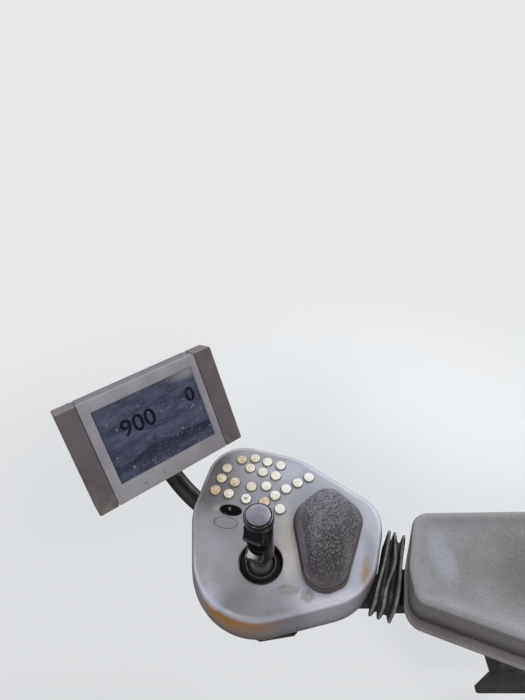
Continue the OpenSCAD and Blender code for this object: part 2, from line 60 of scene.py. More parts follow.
camera.rotation_euler = (math.pi / 2 - eye_pitch, 0.0, 0.0)
bpy.context.scene.collection.objects.link(camera)
bpy.context.scene.camera = camera
bpy.context.scene.view_settings.view_transform = "Standard"


# The studio: a pale floor under the bracket, a pale sky that the camera sees as an even tone and
# gloss as a band of windows, and three soft lamps.
floor_z = -0.16
floor_half = 30.0
backdrop = (0.80, 0.81, 0.82)


class Nodes:
    """A node tree being wired up. Values are numbers or other nodes' outputs."""

    def __init__(self, tree):
        self.tree = tree

    def add(self, kind, put=(), **settings):
        """One node. put pairs an input's name or number with a value."""
        made = self.tree.nodes.new(kind)
        for key, value in settings.items():
            setattr(made, key, value)
        for key, value in dict(put).items():
            if isinstance(value, bpy.types.NodeSocket):
                self.tree.links.new(value, made.inputs[key])
            else:
                made.inputs[key].default_value = value
        return made

    def place(self):
        """The object's own coordinates, which stay on the surface as it moves."""
        return self.add("ShaderNodeTexCoord").outputs["Object"]

    def vector(self, operation, first, second, output=0):
        """One operation on vectors."""
        return self.add("ShaderNodeVectorMath", {0: first, 1: second}, operation=operation).outputs[output]

    def span(self, value, low, high, out_low=0.0, out_high=1.0):
        """Maps a value's range onto another, smoothly and clamped."""
        put = {"Value": value, "From Min": low, "From Max": high, "To Min": out_low, "To Max": out_high}
        return self.add("ShaderNodeMapRange", put, interpolation_type="SMOOTHSTEP").outputs[0]

    def scalar(self, operation, first, second=0.0):
        """One operation on values."""
        return self.add("ShaderNodeMath", {0: first, 1: second}, operation=operation).outputs[0]

    def times(self, first, second):
        """The product of two values."""
        return self.scalar("MULTIPLY", first, second)

    def either(self, share, first, second):
        """Mixes two shaders."""
        return self.add("ShaderNodeMixShader", {0: share, 1: first, 2: second}).outputs[0]


def build_world():
    """A plain sky that lights softly. Gloss sees a band of windows under a darker roof, brightest outboard."""
    world = bpy.data.worlds.new("studio")
    bpy.context.scene.world = world
    world.use_nodes = True
    world.node_tree.nodes.clear()
    sky = Nodes(world.node_tree)
    path = sky.add("ShaderNodeLightPath").outputs
    way = sky.add("ShaderNodeNewGeometry").outputs["Position"]
    way = sky.add("ShaderNodeSeparateXYZ", {"Vector": way}).outputs
    windows = sky.times(sky.span(way["Z"], 0.02, 0.12), sky.span(way["Z"], 0.42, 0.62, 1.0, 0.0))
    windows = sky.times(windows, sky.span(way["Y"], -0.45, 0.05, 0.40, 1.0))
    mirrored = sky.span(windows, 0.0, 1.0, 0.12, 5.0)
    dim = sky.add("ShaderNodeMix", {0: path["Is Glossy Ray"], 2: 0.62, 3: mirrored}).outputs[0]
    seen = sky.scalar("MAXIMUM", path["Is Camera Ray"], path["Is Transmission Ray"])
    lit = sky.add("ShaderNodeBackground", {"Color": (0.93, 0.96, 1.0, 1.0), "Strength": dim}).outputs[0]
    plain = sky.add("ShaderNodeBackground", {"Color": (*backdrop, 1.0), "Strength": 1.0}).outputs[0]
    sky.add("ShaderNodeOutputWorld", {"Surface": sky.either(seen, lit, plain)})


def build_floor():
    """A wide pale square that catches the shadow and fades to an even pale tone far from the part."""
    signs = ((-1, -1), (1, -1), (1, 1), (-1, 1))
    mesh = bpy.data.meshes.new("floor")
    mesh.from_pydata([(x * floor_half, y * floor_half, floor_z) for x, y in signs], [], [(0, 1, 2, 3)])
    plane = bpy.data.objects.new("floor", mesh)
    bpy.context.scene.collection.objects.link(plane)
    pale = bpy.data.materials.new("pale floor")
    pale.use_nodes = True
    shader = pale.node_tree.nodes["Principled BSDF"]
    shader.inputs["Base Color"].default_value = (0.76, 0.76, 0.76, 1.0)
    shader.inputs["Roughness"].default_value = 0.9
    wires = Nodes(pale.node_tree)
    away = wires.vector("DISTANCE", wires.place(), (-0.30, 0.05, floor_z), "Value")
    glow = wires.add("ShaderNodeEmission", {"Color": (*backdrop, 1.0)}).outputs[0]
    faded = wires.either(wires.span(away, 0.60, 1.30), shader.outputs[0], glow)
    shaded = wires.add("ShaderNodeBsdfDiffuse", {"Color": (0.12, 0.117, 0.117, 1.0)}).outputs[0]
    mirrored = wires.add("ShaderNodeLightPath").outputs["Is Glossy Ray"]
    surface = wires.either(mirrored, faded, shaded)
    wires.tree.links.new(surface, wires.tree.nodes["Material Output"].inputs["Surface"])
    mesh.materials.append(pale)


def add_lamp(name, at, aim, size, power, tint):
    """A square area lamp at a point, turned towards another."""
    data = bpy.data.lights.new(name, "AREA")
    data.size = size
    data.energy = power
    data.color = tint
    lamp = bpy.data.objects.new(name, data)
    lamp.location = at
    lamp.rotation_euler = (Vector(aim) - Vector(at)).to_track_quat("-Z", "Y").to_euler()
    bpy.context.scene.collection.objects.link(lamp)


build_world()
build_floor()
add_lamp("window lamp", (0.7, 1.5, 1.6), (-0.35, 0.1, 0.25), 1.4, 26.0, (0.95, 0.98, 1.0))
add_lamp("near lamp", (-1.3, -1.1, 1.7), (-0.35, 0.1, 0.25), 0.6, 10.0, (1.0, 0.98, 0.95))
add_lamp("side lamp", (0.8, -0.9, 1.3), (-0.35, 0.1, 0.25), 0.35, 3.5, (1.0, 0.99, 0.97))


# Pod shell: one moulding of grey plastic with a flat top, a rolled rim, sides that bulge and
# then tuck under to the pan. Holes let the keys, the ovals and the joystick through.
stick_at = np.array([-0.400, 0.060, 0.260])
pod_depth = 0.058
pod_count = 260
pod_corners = np.array([
    # x, y about the joystick's axis, radius
    (-0.0235, 0.1225, 0.058), (0.0225, 0.087, 0.079), (0.1165, 0.0555, 0.0475),
    (0.072, 0.0275, 0.0815), (-0.004, 0.014, 0.0855), (-0.0315, 0.068, 0.064),
])
key_spots = np.array([
    # x, y about the joystick's axis, how brown the key is worn
    (-0.0280, 0.1505, 0.85), (-0.0085, 0.1530, 0.40), (0.0095, 0.1465, 0.12), (0.0285, 0.1405, 0.10),
    (-0.0490, 0.1360, 0.60), (-0.0155, 0.1360, 0.50), (0.0025, 0.1295, 0.30), (0.0210, 0.1230, 0.05),
    (-0.0560, 0.1190, 0.70), (-0.0370, 0.1125, 0.75), (0.0680, 0.1205, 0.02), (0.0515, 0.1115, 0.02),
    (0.0350, 0.1020, 0.05), (-0.0635, 0.1000, 0.90), (-0.0445, 0.0945, 0.45), (-0.0135, 0.1055, 0.45),
    (0.0075, 0.1065, 0.12), (0.0195, 0.0915, 0.25), (-0.0205, 0.0865, 0.15), (0.0045, 0.0815, 0.80),
    (0.0255, 0.0710, 0.08),
])
key_r = 0.00725
key_gap = 0.0007
stick_hole_r = 0.0275
oval_gap = 0.0004
cutter_top = 0.004
# each oval's middle, length, width and turn in degrees
rocker_oval = (-0.0405, 0.0703, 0.030, 0.016, -10.0)
plug_oval = (-0.0467, 0.0523, 0.031, 0.016, -9.0)
oval_count = 96


def grid_faces(rows, columns, start, ring):
    """Quads between a grid's rows, each a closed loop. A ring's last row joins its first; otherwise one face
    closes each end.
    """
    i, j = np.meshgrid(np.arange(rows if ring else rows - 1), np.arange(columns), indexing="ij")
    n, k = (i + 1) % rows, (j + 1) % columns
    quads = np.stack([i * columns + j, i * columns + k, n * columns + k, n * columns + j], -1)
    faces = (quads.reshape(-1, 4) + start).tolist()
    if not ring:
        loop = start + np.arange(columns)
        faces += [loop[::-1].tolist(), ((rows - 1) * columns + loop).tolist()]
    return faces


def make_mesh(name, grids, smooth=30.0, ring=False):
    """One mesh object at the origin from a grid of points or a list of them. Edges sharper than smooth
    degrees stay sharp.
    """
    points, faces, start = [], [], 0
    for grid in grids if isinstance(grids, list) else [grids]:
        rows, columns = grid.shape[:2]
        faces += grid_faces(rows, columns, start, ring)
        points.append(grid.reshape(-1, 3))
        start += rows * columns
    mesh = bpy.data.meshes.new(name)
    mesh.from_pydata(np.vstack(points).tolist(), [], faces)
    mesh.validate()
    mesh.shade_smooth()
    mesh.set_sharp_from_angle(angle=math.radians(smooth))
    made = bpy.data.objects.new(name, mesh)
    bpy.context.scene.collection.objects.link(made)
    return made


def spin(x, y, turn):
    """Turns points about the origin, anticlockwise."""
    c, s = math.cos(turn), math.sin(turn)
    return x * c - y * s, x * s + y * c


def outline(corners, count):
    """Points and outward normals around the tightest band over some discs, evenly spaced.

    For each direction the band touches the disc whose centre plus radius reaches furthest that way.
    """
    turn = np.linspace(0, 2 * np.pi, 2880, endpoint=False)
    way = np.stack([np.cos(turn), np.sin(turn)], -1)
    reach = way @ corners[:, :2].T + corners[:, 2]
    best = reach.argmax(1)
    points = corners[best, :2] + corners[best, 2:3] * way
    loop = np.vstack([points, points[:1]])
    ways = np.vstack([way, way[:1]])
    along = np.concatenate([[0], np.cumsum(np.linalg.norm(np.diff(loop, axis=0), axis=1))])
    at = np.linspace(0, along[-1], count, endpoint=False)
    place = np.stack([np.interp(at, along, loop[:, c]) for c in (0, 1)], -1)
    normal = np.stack([np.interp(at, along, ways[:, c]) for c in (0, 1)], -1)
    return place, normal / np.linalg.norm(normal, axis=1, keepdims=True)


def quarter(start, end, steps, over_first=True):
    """A quarter ellipse between two (inset, height) points, leaving the first level or upright."""
    t = np.linspace(0, np.pi / 2, steps)
    a, b = (np.sin(t), 1 - np.cos(t)) if over_first else (1 - np.cos(t), np.sin(t))
    return np.stack([start[0] + (end[0] - start[0]) * a, start[1] + (end[1] - start[1]) * b], -1)


def lofted(corners, profile, count=220, middle=(), at=(0, 0, 0)):
    """Points of a moulding: each profile row (inset, height) moves the outline inwards by inset.

    middle rows (share, height) shrink the last outline towards its centre.
    """
    place, normal = outline(corners, count)
    rows = [np.column_stack([place - normal * inset, np.full(count, height)]) for inset, height in profile]
    for share, height in middle:
        last = rows[len(profile) - 1][:, :2]
        centre = last.mean(0)
        rows.append(np.column_stack([centre + (last - centre) * share, np.full(count, height)]))
    return np.array(rows) + np.asarray(at)


def oval(spot, rows, middle=()):
    """Rings of an ellipse on the pod's top, grown by each row's (grow, height); middle rows (share, height)
    shrink the last.
    """
    x, y, length, width, turn = spot
    t = np.linspace(0, 2 * np.pi, oval_count, endpoint=False)
    sizes = [(length / 2 + grow, width / 2 + grow, height) for grow, height in rows]
    sizes += [(sizes[-1][0] * share, sizes[-1][1] * share, height) for share, height in middle]
    rings = []
    for a, b, height in sizes:
        along, across = spin(a * np.cos(t), b * np.sin(t), math.radians(turn))
        rings.append(np.stack([x + along, y + across, np.full(oval_count, height)], -1))
    return np.array(rings) + stick_at


def cut(piece, cutters):
    """Takes the cutters' volumes out of the piece, then deletes them."""
    for cutter in cutters:
        step = piece.modifiers.new("cut", "BOOLEAN")
        step.operation = "DIFFERENCE"
        step.solver = "EXACT"
        step.object = cutter
    graph = bpy.context.evaluated_depsgraph_get()
    done = bpy.data.meshes.new_from_object(piece.evaluated_get(graph))
    piece.modifiers.clear()
    old = piece.data
    piece.data = done
    bpy.data.meshes.remove(old)
    for cutter in cutters:
        bpy.data.objects.remove(cutter)


class Look(Nodes):
    """A plastic, rubber, paint or metal in the making: its constants are set on the shader, base is the
    colour laid on so far, and x, y, z are the parts of the object's own coordinates.
    """

    def __init__(self, name, colour, roughness, **sockets):
        self.made = bpy.data.materials.new(name)
        self.made.use_nodes = True
        super().__init__(self.made.node_tree)
        self.shader = self.tree.nodes["Principled BSDF"].inputs
        self.shader["Base Color"].default_value = (*colour, 1.0)
        self.shader["Roughness"].default_value = roughness
        for key, value in sockets.items():
            self.shader[key.replace("_", " ")].default_value = value
        self.x, self.y, self.z = self.add("ShaderNodeSeparateXYZ", {"Vector": self.place()}).outputs
        self.normal = None

    def value(self, name):
        """A number kept for each point of the mesh."""
        return self.add("ShaderNodeAttribute", attribute_name=name).outputs["Fac"]

    def noise(self, scale, detail=4.0, rough=0.55, warp=0.0, stretch=(1, 1, 1), at=None):
        """Cloudy noise, scale in cycles a metre, in the object's coordinates or at a vector."""
        where = at or self.add("ShaderNodeMapping", {"Vector": self.place(), "Scale": stretch}).outputs[0]
        put = {"Vector": where, "Scale": scale, "Detail": detail, "Roughness": rough, "Distortion": warp}
        return self.add("ShaderNodeTexNoise", put).outputs["Fac"]

    def cells(self, scale):
        """Distance to the nearest of some scattered points: a pebbled skin."""
        return self.add("ShaderNodeTexVoronoi", {"Vector": self.place(), "Scale": scale}).outputs["Distance"]

    def far(self, centre, radii, ragged, scale):
        """Distance from a centre measured in radii, made ragged by noise."""
        offset = self.vector("SUBTRACT", self.place(), centre)
        scaled = self.vector("MULTIPLY", offset, tuple(1 / r for r in radii))
        away = self.vector("LENGTH", scaled, (0, 0, 0), "Value")
        return self.scalar("ADD", self.span(self.noise(scale, 4.0), 0.3, 0.7, -ragged, ragged), away)

    def stain(self, centre, radii, ragged=0.35, scale=60.0):
        """A soft ragged patch: one at the centre, nought past the radii."""
        return self.span(self.far(centre, radii, ragged, scale), 0.30, 1.05, 1.0, 0.0)

    def ring(self, centre, radii, width, ragged, scale):
        """A thin ragged ring: one on an ellipse round the centre, nought a width from it."""
        gap = self.scalar("SUBTRACT", self.far(centre, (*radii, math.inf), ragged, scale), 1.0)
        return self.span(self.scalar("ABSOLUTE", gap), 0.2 * width, width, 1.0, 0.0)

    def mix(self, share, first, second):
        """Mixes two colours, each a value or another node's output."""
        four = [c if isinstance(c, bpy.types.NodeSocket) else (*c, 1.0) for c in (first, second)]
        return self.add("ShaderNodeMix", {0: share, 6: four[0], 7: four[1]}, data_type="RGBA").outputs[2]

    def clouds(self, pattern, low, high, dark, light):
        """The first coat: dark below low in the pattern, light above high."""
        self.base = self.mix(self.span(pattern, low, high), dark, light)

    def wash(self, share, tone, amount=1.0):
        """A coat of tone over the base, by share times amount."""
        self.base = self.mix(self.times(share, amount), self.base, tone)

    def rough(self, pattern, low, high, smooth, matt):
        """Roughness from smooth to matt as the pattern goes from low to high."""
        self.tree.links.new(self.span(pattern, low, high, smooth, matt), self.shader["Roughness"])

    def grain(self, height, depth):
        """Raises the surface by a height pattern, depth in metres, over the grain before it."""
        put = {"Height": height, "Distance": depth, "Strength": 1.0}
        if self.normal is not None:
            put["Normal"] = self.normal
        self.normal = self.add("ShaderNodeBump", put).outputs[0]
        self.tree.links.new(self.normal, self.shader["Normal"])

    def done(self):
        """The finished material."""
        self.tree.links.new(self.base, self.shader["Base Color"])
        return self.made


pod_stains_and_light = (
    # centre, radii, raggedness and its scale, tone, amount
    # painted sheen on the left, painted shade at the far left, the beige rub beside the palm pad
    ((-0.4720, 0.0640, 0.26), (0.034, 0.070, 0.2), 0.20, 30.0, (0.36, 0.355, 0.395), 0.55),
    ((-0.4800, 0.1800, 0.26), (0.060, 0.070, 0.2), 0.15, 30.0, (0.105, 0.096, 0.096), 0.80),
    ((-0.3640, 0.0820, 0.26), (0.021, 0.074, 0.2), 0.16, 40.0, (0.545, 0.480, 0.430), 0.72),
    # paler painted highlights near right and on the far side, darker right of the pad, painted shade along the near
    # edge, a paler painted sheen near left
    ((-0.3200, 0.0100, 0.26), (0.055, 0.026, 0.2), 0.20, 30.0, (0.62, 0.605, 0.69), 0.72),
    ((-0.3800, 0.1940, 0.26), (0.050, 0.024, 0.2), 0.20, 30.0, (0.52, 0.56, 0.64), 0.45),
    ((-0.2615, 0.0650, 0.26), (0.014, 0.050, 0.2), 0.20, 30.0, (0.205, 0.210, 0.240), 0.62),
    ((-0.4100, 0.0060, 0.26), (0.082, 0.026, 0.2), 0.20, 30.0, (0.185, 0.178, 0.195), 0.50),
    ((-0.3780, 0.0000, 0.256), (0.050, 0.009, 0.009), 0.20, 30.0, (0.170, 0.160, 0.172), 0.50),
    ((-0.4660, 0.0300, 0.26), (0.018, 0.026, 0.2), 0.20, 30.0, (0.40, 0.39, 0.44), 0.40),
    # a worn spot beside the oval rocker, the brown rub at the right edge
    ((-0.4594, 0.1330, 0.26), (0.008, 0.007, 0.2), 0.30, 130.0, (0.46, 0.38, 0.29), 0.60),
    ((-0.2712, 0.0445, 0.257), (0.0105, 0.029, 0.014), 0.18, 60.0, (0.245, 0.150, 0.072), 0.85),
)
scuffs = (((-0.3690, 0.0270, 0.26), (0.0088, 0.0042)), ((-0.3445, 0.0195, 0.26), (0.0058, 0.0050)))


def moulded_grey():
    """Worn grey plastic: clouded, browned on the near wall and where hands rest, with painted light: paler to the
    right, painted highlights and sheen on the top and rim, painted shade at the far left, on the walls, along the
    near edge and underneath.
    """
    look = Look("worn pod grey", (0.24, 0.24, 0.25), 0.42, Specular_IOR_Level=0.5)
    look.clouds(look.noise(12.0, 6.0, 0.6), 0.32, 0.68, (0.232, 0.226, 0.248), (0.300, 0.292, 0.318))
    # Painted light: the grey grows paler and bluer towards the right, where the window light falls.
    across = look.span(look.x, -0.47, -0.28)
    look.wash(across, (0.40, 0.41, 0.48), 0.75)
    # The table's real stains and its painted light, one after another.
    for *patch, tone, amount in pod_stains_and_light:
        look.wash(look.stain(*patch), tone, amount)
    low = look.span(look.z, 0.2570, 0.2525)
    ochre = look.times(look.span(look.x, -0.360, -0.430), look.span(look.x, -0.480, -0.460))
    ochre = look.times(look.times(ochre, look.span(look.y, 0.03, 0.012)), low)
    upper = look.span(look.z, 0.229, 0.243, 0.35, 1.0)
    patchy = look.times(look.times(ochre, upper), look.span(look.noise(26.0, 6.0, 0.65), 0.30, 0.62, 0.78, 1.0))
    # The walls below the rim are darker: painted shade, in a warm brown-grey.
    look.wash(low, (0.105, 0.092, 0.092), 0.62)
    look.wash(patchy, (0.295, 0.130, 0.016), 0.92)
    # Painted shade: darker still where the shell tucks under towards the pan.
    foot = look.span(look.z, 0.236, 0.206)
    look.wash(foot, (0.050, 0.041, 0.038), 0.70)
    for centre, radii in scuffs:
        haze = look.stain(centre, (radii[0] * 1.5, radii[1] * 1.9, 0.2), 0.35, 150.0)
        look.wash(haze, (0.235, 0.205, 0.160), 0.55)
        broken = look.span(look.noise(150.0, 6.0, 0.7), 0.44, 0.64)
        scuff = look.times(look.ring(centre, radii, 0.75, 0.30, 120.0), broken)
        look.wash(scuff, (0.110, 0.096, 0.086), 0.75)
    ring_dirt = look.stain((-0.3985, 0.058, 0.26), (0.033, 0.033, 0.2), 0.12, 120.0)
    look.wash(ring_dirt, (0.13, 0.105, 0.09), 0.50)
    specks = look.span(look.noise(420.0, 2.0), 0.67, 0.75)
    look.wash(specks, (0.11, 0.105, 0.10), 0.35)
    streaks = look.span(look.noise(24.0, 8.0, 0.7, 0.8, (1.0, 2.5, 1.0)), 0.58, 0.74)
    look.wash(streaks, (0.50, 0.50, 0.53), 0.14)
    # Painted highlight: a paler bluish band round the rolled rim, which is also made smoother.
    rolled = look.times(look.span(look.z, 0.2599, 0.2590), look.span(look.z, 0.2515, 0.2545))
    look.wash(rolled, (0.47, 0.465, 0.525), 0.30)
    # Painted highlight: a bluish patch on the near-left rim.
    rim_highlight = look.times(look.stain((-0.4620, 0.0180, 0.2555), (0.026, 0.022, 0.010), 0.12, 60.0), 0.55)
    look.wash(rim_highlight, (0.56, 0.545, 0.70))
    gloss = look.span(look.noise(22.0, 6.0), 0.3, 0.7, 0.27, 0.40)
    gloss = look.scalar("SUBTRACT", gloss, look.times(rolled, 0.07))
    look.tree.links.new(gloss, look.shader["Roughness"])
    look.grain(look.noise(900.0, 2.0), 0.00004)
    look.grain(look.noise(35.0, 3.0), 0.0003)
    return look.done()


pod_grey = moulded_grey()
rim = quarter((0.0125, 0.0), (0.0034, -0.0068), 12)
wall = [(0.0030, -0.0085), (0.0022, -0.0125), (0.0012, -0.0200), (0.0004, -0.0300), (0.0, -0.0380),
        (0.0003, -0.0455)]
tuck = quarter((0.0010, -0.0500), (0.0090, -pod_depth), 8, over_first=False)
pod_profile = np.vstack([rim, wall, tuck])[::-1]
pod = make_mesh("pod_moulding", lofted(pod_corners, pod_profile, pod_count, at=stick_at), 40.0)


def well(spot, radius, low):
    """A straight round cutter through the pod's top."""
    return make_mesh("well", lofted(np.array([(*spot, radius)]), [(0, low), (0, cutter_top)], 64, at=stick_at))


wells = [well((x, y), key_r + key_gap, -0.008) for x, y, _ in key_spots]
wells.append(well((0.0, 0.0), stick_hole_r, -0.050))
for spot, deep in ((rocker_oval, -0.0105), (plug_oval, -0.0060)):
    wells.append(make_mesh("well", oval(spot, [(oval_gap, deep), (oval_gap, cutter_top)])))
cut(pod, wells)
pod.data.shade_smooth()
pod.data.set_sharp_from_angle(angle=math.radians(28))
pod.data.materials.clear()
pod.data.materials.append(pod_grey)
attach(pod, "pod")
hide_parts("pod_shell")


# Bottom pan and slide lever: the pan is a dark moulding pressed into the shell's mouth, and the
# lever's black lip shows under the near edge. Pulling it up frees the pod to slide.
def plain_black(name, colour, low, high, grain, depth, dusty=1.0, **sockets):
    """Dark plastic or rubber: clouded colour, dusty patches, roughness from low to high, fine grain."""
    look = Look(name, colour, high, **sockets)
    dust = tuple(min(1.0, c * 1.9 + 0.012 * dusty) for c in colour)
    share = look.span(look.noise(24.0, 6.0, 0.6), 0.42, 0.70)
    look.base = look.mix(look.times(share, 0.55), colour, dust)
    specks = look.span(look.noise(520.0, 2.0), 0.69, 0.76)
    look.wash(specks, (0.20, 0.185, 0.17), 0.4 * dusty)
    look.rough(look.noise(30.0, 5.0), 0.35, 0.68, low, high)
    look.grain(look.noise(grain, 3.0), depth)
    return look.done()


def dress(material, slot_name, *names):
    """Gives carried-over solids their finish."""
    for name in names:
        solid = nodes[name]
        solid.data.materials.clear()
        solid.data.materials.append(material)


pan_black = plain_black("pan black", (0.030, 0.028, 0.028), 0.42, 0.62, 700.0, 0.00006)
dress(pan_black, "pan_charcoal", "pod_pan")
lever_black = plain_black("lever black", (0.016, 0.015, 0.016), 0.22, 0.40, 500.0, 0.00002)
dress(lever_black, "gloss_black", "slide_lever")


# Keys: twenty-one round caps on one rubber sheet, each crowned, with a soft edge, standing in its
# own well. Ivory plastic, worn brown where the left of the bank is pressed most.
key_seat_z = -0.005
key_crown = 0.0031
dark_edge_rows = 5
sheet_inset = 0.016
sheet_hole_r = 0.0295
sheet_count = 120


def turned(profile, count, at=(0, 0, 0)):
    """A surface of revolution: each (radius, height) row is carried round the axis in count steps."""
    turn = np.linspace(0, 2 * np.pi, count, endpoint=False)
    r = np.asarray(profile)[:, :1]
    z = np.asarray(profile)[:, 1:2]
    return np.stack([r * np.cos(turn), r * np.sin(turn), z + 0 * turn], -1) + np.asarray(at)


def key_profile():
    """The key's half section: an upright wall, a quarter-round edge and a low crown."""
    edge = quarter((key_r, 0.0019), (key_r - 0.0012, key_crown - 0.0003), 6, over_first=False)
    crown = [(key_r * s, key_crown - 0.0003 * (s / 0.83) ** 2) for s in (0.6, 0.35, 0.1)]
    return np.vstack([[(key_r, key_seat_z), (key_r, 0.0)], edge, crown])


def speck_attribute(piece, name, values):
    """Keeps one number for each point on the mesh, for its material."""
    made = piece.data.attributes.new(name, "FLOAT", "POINT")
    made.data.foreach_set("value", np.ascontiguousarray(values, dtype=np.float32))


def key_ivory():
    """Ivory plastic browned by use: the key's own share of brown, deeper in blotches, and darker brown on its side
    and the lower part of its edge.
    """
    look = Look("worn key ivory", (0.78, 0.75, 0.68), 0.38, Specular_IOR_Level=0.5)
    brown = look.value("brown")
    edge = look.value("edge")
    fresh = look.mix(look.span(look.noise(260.0, 3.0), 0.3, 0.7), (0.83, 0.84, 0.80), (0.76, 0.74, 0.66))
    worn = look.mix(look.span(look.noise(330.0, 5.0, 0.7), 0.35, 0.62), (0.66, 0.52, 0.36), (0.46, 0.30, 0.17))
    cloud = look.span(look.noise(120.0, 5.0, 0.7), 0.34, 0.66, -0.28, 0.28)
    share = look.add("ShaderNodeClamp", {0: look.scalar("ADD", brown, cloud)}).outputs[0]
    look.base = look.mix(share, fresh, worn)
    # Darker brown on the key's side and the lower part of its edge.
    edge_darkening = look.times(edge, look.span(look.noise(420.0, 4.0), 0.30, 0.62, 0.35, 0.95))
    look.wash(edge_darkening, (0.16, 0.11, 0.075))
    hole = look.stain((-0.4205, 0.1465, 0.263), (0.0030, 0.0024, 0.02), 0.35, 500.0)
    look.wash(hole, (0.10, 0.085, 0.07), 0.9)
    look.rough(look.noise(200.0, 4.0), 0.3, 0.7, 0.28, 0.5)
    look.grain(look.noise(800.0, 3.0), 0.00004)
    return look.done()


one_key = turned(key_profile(), 44)
key_grids = [one_key + stick_at + np.array([x, y, 0.0]) for x, y, _ in key_spots]
keys = make_mesh("key_caps", key_grids, 40.0)
rows_per_key, columns_per_key = one_key.shape[:2]
speck_attribute(keys, "brown", np.repeat(key_spots[:, 2], rows_per_key * columns_per_key))
edge_rows = (np.arange(rows_per_key) < dark_edge_rows) * 1.0
speck_attribute(keys, "edge", np.tile(np.repeat(edge_rows, columns_per_key), len(key_spots)))
keys.data.materials.append(key_ivory())
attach(keys, "pod")

sheet_edge = lofted(pod_corners, [(sheet_inset, 0.0)], sheet_count)[0, :, :2]
sheet_hole = sheet_hole_r * sheet_edge / np.linalg.norm(sheet_edge, axis=1, keepdims=True)
sheet_low, sheet_high = key_seat_z - 0.001, key_seat_z + 0.0005
sheet_loops = ((sheet_hole, sheet_low), (sheet_edge, sheet_low), (sheet_edge, sheet_high), (sheet_hole, sheet_high))
sheet_rows = [np.column_stack([loop, np.full(sheet_count, height)]) for loop, height in sheet_loops]
key_sheet = make_mesh("key_sheet", np.array(sheet_rows) + stick_at, ring=True)
key_sheet.data.materials.append(pan_black)
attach(key_sheet, "pod")
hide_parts("keypad")


# Oval controls left of the stick: a gloss black rocker that tips end to end in its own well, and
# below it a flush blank plug of the pod's grey, ringed by a dark line.
rocker_edge = quarter((0.0, 0.0006), (-0.0014, 0.0020), 6, over_first=False)
rocker_top = [(s, 0.0020) for s in np.linspace(0.92, 0.04, 15)]
rocker_grid = oval(rocker_oval, [(0.0, -0.0100), *rocker_edge], rocker_top)
rocker_turn = math.radians(rocker_oval[4])
rocker_flat = rocker_grid[..., :2] - stick_at[:2] - np.array(rocker_oval[:2])
rocker_along = rocker_flat @ np.array([math.cos(rocker_turn), math.sin(rocker_turn)])
rocker_across = rocker_flat @ np.array([-math.sin(rocker_turn), math.cos(rocker_turn)])
wedge = np.exp(-((rocker_along + 0.0036) / 0.0028) ** 2 - ((rocker_across + 0.0010) / 0.0034) ** 2)
rocker_grid[1:, :, 2] += (0.0012 * np.abs(rocker_along) / 0.015 - 0.0010 + 0.0014 * wedge)[1:]
rocker = make_mesh("oval_rocker_cap", rocker_grid, 40.0)
gloss_black = plain_black("gloss black", (0.0040, 0.0034, 0.0038), 0.06, 0.17, 420.0, 0.000006, 0.2,
                          Specular_IOR_Level=0.22)
rocker.data.materials.append(gloss_black)
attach(rocker, "pod")
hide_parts("oval_rocker")

plug_edge = quarter((-0.0004, -0.0004), (-0.0011, 0.0003), 4, over_first=False)
plug = make_mesh("oval_blank", oval(plug_oval, [(0.0, -0.0030), *plug_edge], [(0.6, 0.0003)]), 40.0)
plug_grey = Look("blank grey", (0.22, 0.218, 0.226), 0.45)
plug_grey.clouds(plug_grey.noise(60.0, 5.0), 0.35, 0.65, (0.225, 0.221, 0.238), (0.262, 0.256, 0.272))
plug_grey.grain(plug_grey.noise(900.0, 2.0), 0.00004)
plug.data.materials.append(plug_grey.done())
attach(plug, "pod")
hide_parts("oval_plug")


# Palm pad: soft moulded foam with a coarse leather-like grain, crowned, pressed down along its
# near end, sitting in a smooth dark lip that is part of its backing.
palm_corners = np.array([
    # x, y about the joystick's axis, radius
    (0.0915, 0.0740, 0.0260), (0.0865, 0.0480, 0.0430), (0.1065, 0.0565, 0.0270), (0.0855, -0.0125, 0.0210),
    (0.0765, -0.0115, 0.0255),
])
palm_count = 300
lip_count = 240


def smooth_step(value, low, high):
    """Rises from nought at low to one at high with level ends."""
    t = np.clip((value - low) / (high - low), 0, 1)
    return t * t * (3 - 2 * t)


def hollow(points, centre, radii, depth):
    """Presses points down inside an ellipse, deepest at its centre and fading to its edge."""
    away = np.sqrt((((points[..., :2] - centre) / radii) ** 2).sum(-1))
    points[..., 2] -= depth * (1 - smooth_step(away, 0.0, 1.0))


palm_side = [(0.0014, 0.0026), (0.0010, 0.0042), (0.0012, 0.0070), (0.0026, 0.0096), (0.0050, 0.0117),
             (0.0082, 0.0133), (0.0115, 0.0142), (0.0140, 0.0147)]
palm_middle = [(s, 0.0147 + 0.0010 * (1 - s * s)) for s in (0.92, 0.82, 0.7, 0.56, 0.42, 0.28, 0.14, 0.03)]
palm_grid = lofted(palm_corners, palm_side, palm_count, palm_middle, stick_at)
hollow(palm_grid[2:], stick_at[:2] + np.array([0.100, 0.036]), np.array([0.034, 0.050]), 0.0008)
hollow(palm_grid[2:], stick_at[:2] + np.array([0.081, -0.030]), np.array([0.044, 0.028]), 0.0030)
palm = make_mesh("palm_pad_foam", palm_grid, 180.0)


